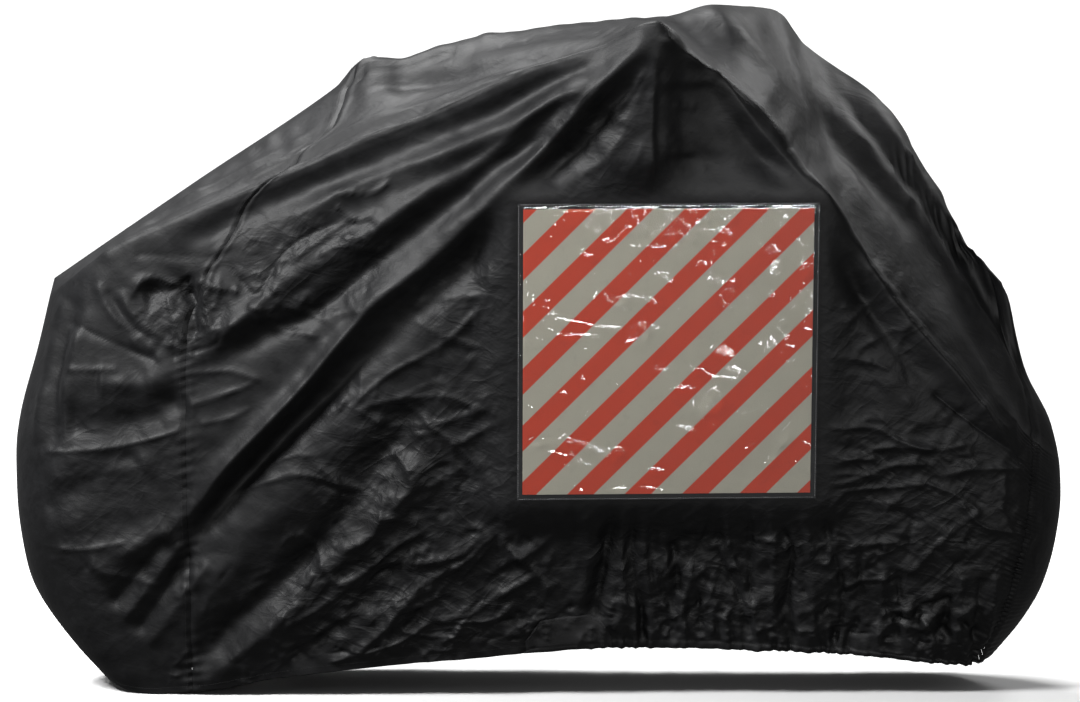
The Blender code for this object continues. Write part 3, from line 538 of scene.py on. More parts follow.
    (((0.502, 0.341), (0.536, 0.374), (0.619, 0.379), (0.675, 0.387)), 0.0058, 0.006, 1.1),
    (((0.5, 0.402), (0.545, 0.405), (0.6, 0.398)), 0.0055, 0.0045, 1.1),
    (((0.675, 0.387), (0.722, 0.366), (0.771, 0.334)), 0.0055, 0.004, 1.1),
    (((0.771, 0.338), (0.701, 0.281), (0.643, 0.216)), 0.006, 0.0052, 1.1),
    (((0.732, 0.354), (0.775, 0.307), (0.868, 0.285)), 0.006, 0.005, 1.1),
    (((0.688, 0.393), (0.763, 0.409), (0.859, 0.404)), 0.0055, 0.0038, 1.1),
    (((0.682, 0.547), (0.764, 0.48), (0.859, 0.411)), 0.006, -0.0055, 1.1),
    (((0.546, 0.274), (0.629, 0.282)), 0.006, 0.005, 1.1),
    (((0.534, 0.197), (0.562, 0.209), (0.616, 0.217)), 0.006, 0.0068, 1.1),
    (((0.611, 0.149), (0.657, 0.163), (0.712, 0.203)), 0.006, 0.0065, 1.1),
    (((0.62, 0.135), (0.668, 0.146), (0.704, 0.172)), 0.0055, -0.005, 1.2),
    (((0.656, 0.326), (0.645, 0.281), (0.647, 0.251)), 0.007, -0.0045, 1.3),
    (((0.777, 0.215), (0.77, 0.15), (0.766, 0.09)), 0.009, -0.008, 1.4),
    (((0.8, 0.22), (0.795, 0.15), (0.782, 0.09)), 0.009, 0.007, 1.4),
    (((0.718, 0.183), (0.713, 0.1)), 0.0085, -0.0075, 1.4),
    (((0.742, 0.22), (0.738, 0.15), (0.736, 0.09)), 0.009, 0.007, 1.4),
    (((0.676, 0.15), (0.68, 0.095)), 0.008, 0.006, 1.3),
    # beside and above the pocket
    (((0.484, 0.738), (0.52, 0.698), (0.567, 0.699)), 0.006, 0.0045, 1.1),
    (((0.487, 0.681), (0.526, 0.673), (0.579, 0.708)), 0.006, 0.0045, 1.1),
    (((0.49, 0.615), (0.572, 0.601), (0.61, 0.585)), 0.006, 0.0042, 1.1),
    (((0.546, 0.62), (0.611, 0.652), (0.645, 0.661)), 0.006, 0.0038, 1.1),
    (((0.183, 1.115), (0.144, 1.056), (0.078, 1.021)), 0.0075, 0.0038, 1.3),
    (((0.175, 1.095), (0.135, 1.028)), 0.007, -0.0035, 1.3),
    (((0.125, 1.028), (0.062, 0.997)), 0.007, 0.0035, 1.3),
    (((0.15, 1.01), (0.105, 0.95), (0.07, 0.93)), 0.0075, 0.0032, 1.3),
    (((0.235, 1.05), (0.273, 1.044)), 0.006, 0.0028, 1.2),
    (((0.218, 0.969), (0.272, 0.968)), 0.006, 0.0028, 1.2),
    (((0.24, 0.93), (0.29, 0.94)), 0.006, 0.0025, 1.2),
)
# Over the top: routes are in x and "around".
TOP_FOLDS = (
    # the slit below the standing strip of the crown seam
    (((-0.35, 1.93), (-0.322, 1.84), (-0.288, 1.79), (-0.24, 1.79), (-0.172, 1.78), (-0.144, 1.76)),
     0.0065, -0.011, 1.2),
    (((-0.345, 1.99), (-0.3, 1.93), (-0.24, 1.92), (-0.16, 1.92), (-0.06, 1.9)), 0.011, 0.008, 1.5),
    (((-0.15, 1.75), (-0.033, 1.6), (0.08, 1.4), (0.18, 1.12)), 0.006, -0.0045, 1.2),
    (((-0.12, 1.86), (0.0, 1.78), (0.14, 1.62)), 0.007, 0.004, 1.2),
    # ridges and troughs that run down to the rear
    (((-0.53, 1.29), (-0.408, 1.2), (-0.318, 1.18), (-0.184, 1.12), (-0.066, 1.09)), 0.011, 0.009, 1.4),
    (((-0.53, 1.14), (-0.408, 1.1), (-0.318, 1.1), (-0.184, 1.06)), 0.01, -0.006, 1.7),
    (((-0.343, 1.66), (-0.239, 1.6), (-0.119, 1.34), (0.002, 1.16), (0.15, 1.06)), 0.026, -0.014, 2.0),
    (((-0.64, 1.5), (-0.587, 1.45), (-0.479, 1.42), (-0.378, 1.46)), 0.012, 0.006, 1.6),
    (((-0.7, 1.3), (-0.56, 1.34), (-0.43, 1.33)), 0.012, -0.005, 1.7),
    # layers beside the crown, over the front wheel
    (((0.54, 2.15), (0.59, 2.12), (0.64, 2.1), (0.69, 2.08), (0.73, 2.05)), 0.008, 0.008, 1.3),
    (((0.53, 1.88), (0.585, 1.86), (0.634, 1.84), (0.68, 1.83), (0.72, 1.86)), 0.008, 0.0075, 1.3),
    (((0.52, 1.72), (0.58, 1.76), (0.626, 1.72), (0.668, 1.73)), 0.008, -0.008, 1.5),
    (((0.7, 1.7), (0.732, 1.8), (0.77, 1.9)), 0.012, -0.014, 1.7),
    (((0.62, 1.62), (0.65, 1.75), (0.668, 1.86)), 0.007, 0.006, 1.2),
    (((0.65, 1.58), (0.684, 1.68), (0.704, 1.8)), 0.007, 0.006, 1.2),
)
FAR_FOLDS = (
    (((0.34, 1.06), (0.1, 0.88), (-0.2, 0.64), (-0.48, 0.38), (-0.66, 0.24)), 0.026, 0.02, 1.6),
    (((0.3, 0.96), (0.02, 0.76), (-0.26, 0.5), (-0.5, 0.27)), 0.032, -0.018, 2.0),
    (((0.16, 1.0), (-0.14, 0.88), (-0.4, 0.76), (-0.58, 0.66)), 0.024, 0.013, 1.6),
    (((0.12, 0.96), (-0.16, 0.82), (-0.42, 0.69)), 0.026, -0.011, 1.9),
    (((0.45, 0.99), (0.56, 0.8), (0.68, 0.58), (0.78, 0.42)), 0.022, 0.014, 1.5),
    (((0.4, 0.96), (0.47, 0.74), (0.56, 0.54), (0.66, 0.36)), 0.024, 0.012, 1.6),
    (((0.43, 0.93), (0.52, 0.72), (0.62, 0.5), (0.72, 0.34)), 0.024, -0.011, 1.9),
    (((0.36, 1.0), (0.37, 0.78), (0.4, 0.56), (0.43, 0.38)), 0.024, 0.01, 1.7),
    (((0.3, 0.9), (0.25, 0.68), (0.23, 0.46)), 0.03, -0.009, 2.0),
    (((-0.84, 0.66), (-0.865, 0.52)), 0.018, 0.009, 1.7),
    (((-0.81, 0.64), (-0.7, 0.59), (-0.62, 0.56)), 0.018, 0.008, 1.6),
    (((-0.85, 0.42), (-0.74, 0.4), (-0.63, 0.43)), 0.016, 0.006, 1.4),
    (((0.02, 0.34), (0.01, 0.12)), 0.016, -0.01, 1.8),
    (((0.1, 0.3), (0.11, 0.11)), 0.016, 0.008, 1.6),
    (((0.18, 0.32), (0.19, 0.1)), 0.014, -0.01, 1.6),
    (((0.26, 0.34), (0.25, 0.1)), 0.014, 0.009, 1.6),
    (((0.34, 0.34), (0.33, 0.1)), 0.014, -0.01, 1.6),
    (((0.43, 0.3), (0.42, 0.1)), 0.014, 0.009, 1.6),
    (((0.52, 0.28), (0.52, 0.1)), 0.014, -0.01, 1.6),
    (((0.61, 0.26), (0.6, 0.09)), 0.014, 0.008, 1.6),
    (((0.7, 0.24), (0.69, 0.085)), 0.014, -0.008, 1.6),
    (((-0.4, 0.12), (-0.22, 0.26)), 0.016, 0.01, 1.5),
    (((-0.3, 0.09), (-0.1, 0.23)), 0.014, 0.009, 1.4),
    (((-0.1, 0.5), (0.08, 0.38)), 0.014, 0.009, 1.4),
    (((-0.24, 0.42), (-0.06, 0.32)), 0.012, 0.008, 1.4),
)
# Small creases strewn over a patch. Columns are middle x and z, half width and height of the patch, direction
# in degrees, spread of direction, count, and height.
STREWN = (
    (-0.2, 0.4, 0.17, 0.16, 40.0, 32.0, 90, 0.003),
    (-0.23, 0.18, 0.22, 0.11, 35.0, 30.0, 120, 0.0038),
    (-0.12, 0.64, 0.1, 0.14, 45.0, 35.0, 34, 0.002),
    (-0.02, 0.25, 0.08, 0.1, 60.0, 50.0, 40, 0.003),
    (-0.4, 0.76, 0.12, 0.08, 35.0, 40.0, 40, 0.0024),
    (-0.62, 0.68, 0.08, 0.06, 70.0, 40.0, 26, 0.003),
    (-0.55, 0.13, 0.1, 0.1, 45.0, 25.0, 26, 0.0026),
    (0.3, 0.25, 0.24, 0.1, 85.0, 40.0, 110, 0.0034),
    (0.38, 0.13, 0.4, 0.04, 80.0, 50.0, 130, 0.0034),
    (0.62, 0.42, 0.14, 0.1, 10.0, 35.0, 50, 0.0028),
    (0.64, 0.22, 0.14, 0.09, 60.0, 60.0, 50, 0.003),
    (0.7, 0.12, 0.1, 0.05, 60.0, 60.0, 50, 0.0036),
    (0.56, 0.64, 0.08, 0.12, 20.0, 60.0, 26, 0.0018),
    (0.14, 0.99, 0.09, 0.1, 55.0, 25.0, 30, 0.0016),
    (-0.75, 0.33, 0.12, 0.2, 30.0, 60.0, 26, 0.0016),
    (0.86, 0.33, 0.06, 0.18, 80.0, 25.0, 36, 0.0022),
)
FAR_STREWN = (
    (-0.2, 0.3, 0.34, 0.22, 40.0, 40.0, 150, 0.0028),
    (0.3, 0.4, 0.4, 0.26, 60.0, 60.0, 150, 0.0024),
    (0.4, 0.15, 0.38, 0.06, 80.0, 40.0, 130, 0.0034),
    (-0.4, 0.7, 0.26, 0.14, 30.0, 40.0, 70, 0.0022),
    (-0.74, 0.34, 0.12, 0.24, 30.0, 60.0, 40, 0.0018),
)
# Where the cloth is crumpled into facets: columns are x, z, half width, half height, share.
CRUMPLED = (
    (-0.22, 0.39, 0.2, 0.17, 0.8),
    (-0.22, 0.18, 0.26, 0.12, 1.0),
    (-0.1, 0.65, 0.1, 0.16, 0.45),
    (0.3, 0.23, 0.28, 0.12, 0.9),
    (0.66, 0.3, 0.18, 0.22, 0.8),
    (-0.4, 0.78, 0.14, 0.08, 0.6),
    (-0.62, 0.69, 0.08, 0.07, 0.8),
    (0.58, 0.62, 0.1, 0.14, 0.35),
    (0.1, 0.98, 0.1, 0.1, 0.35),
    (-0.75, 0.34, 0.14, 0.24, 0.3),
)


# ---- form of the cloth ----
def smooth(table, value, column):
    """A column of a table at each value of its first column, by a cubic that never overshoots a row."""
    knots = np.array([row[0] for row in table])
    heights = np.array([row[column] for row in table])
    steps = np.diff(knots)
    slopes = np.diff(heights) / steps
    tangents = np.zeros_like(knots)
    same_way = slopes[1:] * slopes[:-1] > 0
    total = slopes[1:] + slopes[:-1]
    harmonic = 2 * slopes[1:] * slopes[:-1] / np.where(total == 0, 1, total)
    tangents[1:-1] = np.where(same_way, harmonic, 0)
    tangents[0], tangents[-1] = slopes[0], slopes[-1]
    value = np.clip(value, knots[0], knots[-1])
    cell = np.clip(np.searchsorted(knots, value, side="right") - 1, 0, len(steps) - 1)
    t = (value - knots[cell]) / steps[cell]
    start, end = heights[cell], heights[cell + 1]
    leave, arrive = tangents[cell] * steps[cell], tangents[cell + 1] * steps[cell]
    bend = (2 * t**3 - 3 * t**2 + 1) * start + (3 * t**2 - 2 * t**3) * end
    return bend + (t**3 - 2 * t**2 + t) * leave + (t**3 - t**2) * arrive


def ease(value):
    """0 below 0, 1 above 1, and smooth between."""
    value = np.clip(value, 0, 1)
    return value * value * (3 - 2 * value)


class Rail:
    """A curve along the cover, read quickly: where it runs in x, y and z at each "along"."""

    def __init__(self, table, side=1.0):
        self.first, self.last = table[0][0], table[-1][0]
        self.steps = np.linspace(0, 1, SAMPLES)
        x = self.first + (self.last - self.first) * self.steps
        self.depth = smooth(table, x, 1) * side
        self.height = smooth(table, x, 2)

    def at(self, along, closing):
        """Points at each "along", their depth drawn in by closing round the ends."""
        x = self.first + (self.last - self.first) * along
        depth = np.interp(along, self.steps, self.depth) * closing
        return np.stack([x, depth, np.interp(along, self.steps, self.height)], -1)


class End:
    """The outline of an end, less the straight lines between its corners."""

    def __init__(self, table):
        self.steps = np.linspace(0, 2, SAMPLES)
        self.x = smooth(table, self.steps, 1)
        self.z = smooth(table, self.steps, 2)
        corners = np.arange(3.0)
        self.bulge_x = self.x - np.interp(self.steps, corners, smooth(table, corners, 1))
        self.bulge_z = self.z - np.interp(self.steps, corners, smooth(table, corners, 2))

    def at(self, around):
        """How far the outline bulges past its straight lines at each "around"."""
        x = np.interp(around, self.steps, self.bulge_x)
        return np.stack([x, np.zeros_like(x), np.interp(around, self.steps, self.bulge_z)], -1)


RAILS = {
    (-1, 0): (Rail(NEAR_HEM), Rail(NEAR_SHOULDER)),
    (-1, 1): (Rail(NEAR_SHOULDER), Rail(CROWN)),
    (1, 0): (Rail(NEAR_HEM, -1.0), Rail(FAR_SHOULDER)),
    (1, 1): (Rail(FAR_SHOULDER), Rail(CROWN)),
}
ENDS = (End(REAR_END), End(FRONT_END))


def end_distance(along):
    """Distance to the nearer end, along the cover."""
    return np.minimum(along, 1 - along) * MEAN_LENGTH


def sharp_form(along, around):
    """The cover's form before its shoulders are rounded, for flat lists of points."""
    points = np.zeros((len(along), 3))
    turned = np.where(around > 2, 4 - around, around)
    floor = (turned > 1).astype(int)
    side = np.where(around > 2, 1, -1)
    closing = np.sqrt(1 - np.clip(1 - end_distance(along) / END_RADIUS, 0, 1) ** 2)
    for (which, level), (lower, upper) in RAILS.items():
        here = (side == which) & (floor == level)
        if not here.any():
            continue
        reach, draw = along[here], closing[here]
        height = turned[here] - level
        mix = height[:, None]
        part = lower.at(reach, draw) * (1 - mix) + upper.at(reach, draw) * mix
        part += ENDS[0].at(turned[here]) * (1 - reach[:, None]) + ENDS[1].at(turned[here]) * reach[:, None]
        if level == 0:
            part[:, 1] += which * BELLY * np.sin(math.pi * height) * draw
        points[here] = part
    return points


def form(along, around):
    """The cover's form with round shoulders and crown, without folds."""
    reach = ROUNDING * np.minimum(1, np.minimum(around, 4 - around) / ROUNDING)
    total = 0
    for offset, weight in ((-1, 1), (-0.5, 2), (0, 2), (0.5, 2), (1, 1)):
        total = total + weight * sharp_form(along, np.clip(around + offset * reach, 0, 4))
    return total / 8


def outward(along, around):
    """Unit normals of the form, out of the cover."""
    step = 0.002
    ahead = form(np.clip(along + step, 0, 1), around) - form(np.clip(along - step, 0, 1), around)
    up = form(along, np.clip(around + step, 0, 4)) - form(along, np.clip(around - step, 0, 4))
    normal = np.cross(ahead, up)
    return normal / np.maximum(np.linalg.norm(normal, axis=-1, keepdims=True), 1e-9)


def along_at(x, around):
    """The "along" of the points that lie at x, at each "around" on either side."""
    turned = np.where(around > 2, 4 - around, around)
    rails = (NEAR_HEM, NEAR_SHOULDER, CROWN)
    corners = np.arange(3.0)
    starts = np.interp(turned, corners, [table[0][0] for table in rails])
    stops = np.interp(turned, corners, [table[-1][0] for table in rails])
    rear = smooth(REAR_END, turned, 1) - starts
    front = smooth(FRONT_END, turned, 1) - stops
    return (x - starts - rear) / (stops - starts + front - rear)


def seam_along(table, around):
    """Where a seam lies, as "along", at each "around" on either side."""
    turned = np.where(around > 2, 4 - around, around)
    return along_at(smooth(table, turned, 1), around)


# ---- folds ----
def softened(route):
    """More points on a smooth line through a route's own points."""
    route = np.array(route, float)
    lengths = np.linalg.norm(np.diff(route, axis=0), axis=1)
    walked = np.concatenate([[0], np.cumsum(lengths)])
    if len(route) == 2:
        return route
    steps = np.linspace(0, walked[-1], 5 * (len(route) - 1) + 1)
    columns = []
    for column in range(route.shape[1]):
        table = tuple(zip(walked, route[:, column]))
        columns.append(smooth(table, steps, 1))
    return np.stack(columns, -1)


def fold_height(places, folds, tapers=(9.0, 6.0)):
    """How far folds lift the cloth at each place, given in the same axes as their routes."""
    lift = np.zeros(len(places))
    for number, (route, width, height, roundness) in enumerate(folds):
        route = softened(route)
        reach = 3.2 * width if roundness > 1.5 else 4.5 * width
        inside = np.all((places > route.min(0) - reach) & (places < route.max(0) + reach), axis=1)
        if not inside.any():
            continue
        spots = places[inside]
        lengths = np.linalg.norm(np.diff(route, axis=0), axis=1)
        walked = np.concatenate([[0], np.cumsum(lengths)])
        nearest = np.full(len(spots), np.inf)
        share = np.zeros(len(spots))
        for start, end, length, before in zip(route[:-1], route[1:], lengths, walked[:-1]):
            t = np.clip(((spots - start) @ (end - start)) / length**2, 0, 1)
            gap = np.linalg.norm(spots - (start + t[:, None] * (end - start)), axis=-1)
            closer = gap < nearest
            share[closer] = ((before + t * length) / walked[-1])[closer]
            nearest[closer] = gap[closer]
        taper = ease(share * tapers[0] + 0.25) * ease((1 - share) * tapers[1] + 0.25)
        uneven = 1 + 0.22 * np.sin(share * (5 + number % 4) * 2.1 + number * 1.7)
        spread = width * (1 + 0.18 * np.sin(share * 7.0 + number * 2.3))
        lift[inside] += height * taper * uneven * np.exp(-((nearest / spread) ** roundness))
    return lift


def strewn(patches, seed):
    """Small creases strewn over patches of the cloth, as rows like those of the folds."""
    chance = np.random.default_rng(seed)
    rows = []
    for x, z, half_width, half_height, direction, spread, count, height in patches:
        for _ in range(count):
            away = chance.uniform(-1, 1, 2) * (half_width, half_height)
            middle = np.array([x, z]) + away
            angle = math.radians(direction + chance.normal(0, spread))
            length = chance.uniform(0.018, 0.07)
            step = np.array([math.cos(angle), math.sin(angle)]) * length / 2
            bow = np.array([-step[1], step[0]]) * chance.uniform(-0.35, 0.35)
            way = 1 if chance.random() < 0.7 else -1
            size = height * chance.uniform(0.5, 1.2)
            width = chance.uniform(0.0045, 0.0085)
            route = (tuple(middle - step), tuple(middle + bow), tuple(middle + step))
            rows.append((route, width, way * size, 1.15))
    return rows


def crumple_share(places):
    """How crumpled the cloth is at each place in x and z, from 0 to 1."""
    share = np.zeros(len(places))
    for x, z, half_width, half_height, most in CRUMPLED:
        away = np.hypot((places[:, 0] - x) / half_width, (places[:, 1] - z) / half_height)
        share = np.maximum(share, most * (1 - ease((away - 0.55) / 0.75)))
    return share


def facets(places, size, stretch, direction, seed):
    """Height of tilted facets, from -1 to 1, and a share that is 1 on the creases between them."""
    chance = np.random.default_rng(seed)
    turn = math.radians(direction)
    axes = np.array([[math.cos(turn) / stretch, -math.sin(turn)], [math.sin(turn) / stretch, math.cos(turn)]])
    turned = (places @ axes) / size
    corners = (np.array([(-1.0, -0.1), (1.0, -0.1), (-1.0, 1.3), (1.0, 1.3)]) @ axes) / size
    low, high = corners.min(0) - 2, corners.max(0) + 2
    columns, rows = (np.ceil(high - low)).astype(int)
    spots = np.stack(np.meshgrid(np.arange(columns), np.arange(rows), indexing="ij"), -1).reshape(-1, 2) + low
    spots = spots + chance.uniform(-0.42, 0.42, spots.shape)
    tilts = chance.normal(0, 0.5, spots.shape)
    tree = KDTree(len(spots))
    for number, spot in enumerate(spots):
        tree.insert((spot[0], spot[1], 0), number)
    tree.balance()
    height = np.zeros(len(places))
    edge = np.zeros(len(places))
    for number, (x, y) in enumerate(turned):
        (_, first, near), (_, _, far) = tree.find_n((x, y, 0), 2)
        inner = min(1.0, (far - near) / 0.45)
        tilt = tilts[first]
        height[number] = (tilt[0] * (x - spots[first][0]) + tilt[1] * (y - spots[first][1])) * inner
        edge[number] = math.exp(-(far - near) / 0.16)
    return height, edge


def waves(places, seed, longest, count):
    """A gentle unevenness of the cloth, about -1 to 1."""
    chance = np.random.default_rng(seed)
    total = np.zeros(len(places))
    for _ in range(count):
        angle = chance.uniform(0, math.pi)
        pitch = longest * chance.uniform(0.45, 1.0)
        phase = chance.uniform(0, 2 * math.pi)
        total += np.sin((places @ (math.cos(angle), math.sin(angle))) * 2 * math.pi / pitch + phase)
    return total / math.sqrt(count)


def ruffles(x, height, seed):
    """Gathers over the elastic: fine beside the hem, and fewer and deeper higher up."""
    chance = np.random.default_rng(seed)
    phases = chance.uniform(0, 2 * math.pi, 6)
    drift = 0.006 * np.sin(x * 31 + phases[0]) + 0.004 * np.sin(x * 73 + phases[1])
    where = ease((x - ELASTIC_SPAN[0]) / 0.03) * ease((ELASTIC_SPAN[1] - x) / 0.04)
    fine = np.sin((x + drift) * 2 * math.pi / FINE_GATHER[0])
    fine = fine * np.exp(-((height / 0.026) ** 1.5)) * FINE_GATHER[1]
    middle = np.sin((x + 1.6 * drift + 0.05 * height) * 2 * math.pi / MIDDLE_GATHER[0] + phases[2])
    middle = middle * np.exp(-(((height - 0.03) / 0.055) ** 2)) * MIDDLE_GATHER[1]
    tall = np.sin((x + 2.2 * drift - 0.08 * height) * 2 * math.pi / TALL_GATHER[0] + phases[3])
    tall = tall * np.exp(-(((height - 0.08) / 0.09) ** 2)) * TALL_GATHER[1]
    swell = 0.65 + 0.35 * np.sin(x * 19 + phases[4])
    casing = CASING * np.exp(-(((height - HEM_BAND / 2) / (HEM_BAND / 2)) ** 4))
    return where * (swell * (fine + middle + tall) + casing)


def seam_relief(along, around):
    """The grooves and puckers of the hood seams and the crown seam."""
    relief = np.zeros(len(along))
    length = np.where(around > 2, 4 - around, around) * SIDE_HEIGHT
    for number, table in enumerate((REAR_SEAM, FRONT_SEAM)):
        away = (along - seam_along(table, around)) * MEAN_LENGTH
        close = np.abs(away)
        pucker = np.sin(length * 2 * math.pi / PUCKER_PITCH + 2.2 * np.sin(length * 17 + number))
        strength = PUCKER_HEIGHTS[number] * (1 + 0.6 * np.sin(length * 29 + number))
        relief += LIP_HEIGHT * np.exp(-(((close - LIP_AWAY) / LIP_HALF) ** 2))
        relief -= GROOVE_DEPTH * np.exp(-((close / GROOVE_HALF) ** 2))
        relief += strength * pucker * np.exp(-close / PUCKER_REACH)
    crown = np.abs(around - 2) * TOP_WIDTH
    relief += CROWN_LIP * np.exp(-((crown / CROWN_LIP_HALF) ** 2))
    return relief


SMALL_CREASES = strewn(STREWN, 11)
FAR_CREASES = strewn(FAR_STREWN, 23)


def top_routes():
    """The routes of the folds over the top, as points in space."""
    rows = []
    for route, width, height, roundness in TOP_FOLDS:
        x, around = np.array(route).T
        rows.append((form(along_at(x, around), around), width, height, roundness))
    return rows


def board_plane(x, z):
    """Depth of the board's plane at x and z."""
    centre_x, centre_y, centre_z = BOARD_CENTRE
    return centre_y + (x - centre_x) * math.tan(BOARD_YAW) - (z - centre_z) * math.tan(BOARD_LEAN)


def cloth(along, around):
    """Points on the cloth, with its folds and the flat field behind the pocket."""
    along, around = np.asarray(along, float), np.asarray(around, float)
    points = form(along, around)
    normals = outward(along, around)
    places = points[:, (0, 2)]
    lift = np.zeros(len(points))
    crown_fade = ease(np.abs(around - 2) / 0.1)
    end_fade = ease(end_distance(along) / 0.07)
    near_work, far_work = (-1, MAIN_FOLDS + CREASES, SMALL_CREASES, 5), (1, FAR_FOLDS, FAR_CREASES, 9)
    for side, folds, small, seed in (near_work, far_work):
        here = (around - 2) * side > 0
        if not here.any():
            continue
        spots = places[here]
        height = fold_height(spots, folds) + fold_height(spots, small, (4.0, 4.0))
        lower = np.where(around > 2, 4 - around, around)[here]
        share = crumple_share(spots) * (1 - ease((lower - 0.98) / 0.1))
        crumpled = share > 0.02
        if crumpled.any():
            tilt, edge = facets(spots[crumpled], FACET_SIZE, FACET_STRETCH, FACET_DIRECTION, seed)
            height[crumpled] += share[crumpled] * (FACET_TILT * tilt + FACET_CREASE * edge)
        slack = SLACK_HEIGHT * waves(spots, seed + 1, SLACK_LENGTH, 7)
        height += slack + RIPPLE_HEIGHT * waves(spots, seed + 2, RIPPLE_LENGTH, 9)
        height = height * (crown_fade * end_fade)[here]
        hem = lower * SIDE_HEIGHT
        height += ruffles(spots[:, 0], hem, seed + 3) * (hem < 0.4)
        lift[here] = height
    top = (around > 0.9) & (around < 2.5)
    if top.any():
        lift[top] += fold_height(points[top], top_routes(), (6.0, 6.0)) * end_fade[top]
    lift += seam_relief(along, around)
    points = points + normals * lift[:, None]
    offset_x = np.abs(points[:, 0] - BOARD_CENTRE[0])
    offset_z = np.abs(points[:, 2] - BOARD_CENTRE[2])
    beyond = np.hypot(np.maximum(offset_x - FLAT_HALF[0], 0), np.maximum(offset_z - FLAT_HALF[1], 0))
    flat = (1 - ease(beyond / FLAT_FADE)) * (1 - ease((around - 1.02) / 0.15))
    plane = board_plane(points[:, 0], points[:, 2]) + CLOTH_SINK
    points[:, 1] = points[:, 1] * (1 - flat) + plane * flat
    return points


def on_board(right, up, out):
    """A point given from the board's centre: along its width, up its height and out of its face."""
    along_x = np.array([math.cos(BOARD_YAW), math.sin(BOARD_YAW), 0.0])
    normal = np.array([math.tan(BOARD_YAW), -1.0, -math.tan(BOARD_LEAN)])
    normal /= np.linalg.norm(normal)
    along_x = along_x - normal * (along_x @ normal)
    along_x /= np.linalg.norm(along_x)
    rise = np.cross(normal, along_x)
    return np.array(BOARD_CENTRE) + right[:, None] * along_x + up[:, None] * rise + out[:, None] * normal


# ---- materials ----
class Socket:
    """A number that nodes work out. Sums on it add Math nodes."""

    def __init__(self, surface, output):
        self.surface, self.output = surface, output

    def _math(self, operation, first, second=None):
        values = {0: first} if second is None else {0: first, 1: second}
        return self.surface.node("ShaderNodeMath", {"operation": operation}, values)

    def __add__(self, other):
        return self._math("ADD", self, other)

    __radd__ = __add__

    def __mul__(self, other):
        return self._math("MULTIPLY", self, other)

    __rmul__ = __mul__

    def __sub__(self, other):
        return self._math("SUBTRACT", self, other)

    def __rsub__(self, other):
        return self._math("SUBTRACT", other, self)

    def __abs__(self):
        return self._math("ABSOLUTE", self)

    def between(self, low, high):
        """0 below low, 1 above high, and smooth between."""
        settings = {"interpolation_type": "SMOOTHSTEP"}
        values = {"Value": self, "From Min": low, "From Max": high}
        return self.surface.node("ShaderNodeMapRange", settings, values)


class Surface:
    def __init__(self, name, **constants):
        self.material = bpy.data.materials.new(name)
        self.material.use_nodes = True
        self.tree = self.material.node_tree
        self.shader = self.tree.nodes["Principled BSDF"]
        for socket, value in constants.items():
            self.shader.inputs[socket.replace("_", " ")].default_value = value

    def node(self, kind, settings=None, values=None, output=0):
        """Adds a node with its settings and its sockets' values or links, and gives back one output."""
        made = self.tree.nodes.new(kind)
        for key, value in (settings or {}).items():
            setattr(made, key, value)
        for key, value in (values or {}).items():
            self.join(made.inputs[key], value)
        return Socket(self, made.outputs[output])

    def join(self, socket, value):
        """Links a socket to a value that nodes work out, or sets it."""
        if isinstance(value, Socket):
            self.tree.links.new(value.output, socket)
        else:
            socket.default_value = value

    def place(self):
        """Where a point of the piece is, in metres."""
        return self.node("ShaderNodeTexCoord", output="Object")

    def scaled(self, place, scale, turn=(0.0, 0.0, 0.0)):
        """A place for a pattern that is turned, and then stretched along its own axes."""
        values = {"Vector": place, "Scale": scale, "Rotation": turn}
        return self.node("ShaderNodeMapping", {"vector_type": "TEXTURE"}, values)

    def noise(self, place, scale, detail=3.0, roughness=0.55, distortion=0.0):
        """Cloudy noise, 0 to 1."""
        values = {"Vector": place, "Scale": scale, "Detail": detail, "Roughness": roughness}
        return self.node("ShaderNodeTexNoise", {}, {**values, "Distortion": distortion})

    def cells(self, place, scale):
        """Distance to the nearest border between cells."""
        settings = {"feature": "DISTANCE_TO_EDGE"}
        return self.node("ShaderNodeTexVoronoi", settings, {"Vector": place, "Scale": scale})

    def ribs(self, place, scale, direction):
        """Parallel ribs, 0 to 1."""
        settings = {"wave_type": "BANDS", "bands_direction": direction, "wave_profile": "SIN"}
        return self.node("ShaderNodeTexWave", settings, {"Vector": place, "Scale": scale}, "Fac")

    def attribute(self, name):
        """A number that the piece's points carry."""
        return self.node("ShaderNodeAttribute", {"attribute_name": name}, {}, "Fac")

    def mixed(self, share, first, second):
        """A colour between two colours, each given as red, green and blue or as a socket."""
        made = self.tree.nodes.new("ShaderNodeMix")
        made.data_type = "RGBA"
        self.join(made.inputs["Factor"], share)
        colours = [socket for socket in made.inputs if socket.type == "RGBA"]
        for socket, colour in zip(colours, (first, second)):
            self.join(socket, colour if isinstance(colour, Socket) else (*colour, 1.0))
        result = next(socket for socket in made.outputs if socket.type == "RGBA")
        return Socket(self, result)

    def bumped(self, *layers):
        """A normal raised by heights, each with its own depth in metres."""
        normal = None
        for height, depth in layers:
            values = {"Height": height, "Distance": depth, "Strength": 1.0}
            if normal is not None:
                values["Normal"] = normal
            normal = self.node("ShaderNodeBump", {}, values)
        return normal

    def finish(self, **sockets):
        """Joins what changes over the surface to the shader, and gives back the material."""
        for name, value in sockets.items():
            self.join(self.shader.inputs[name.replace("_", " ")], value)
        return self.material


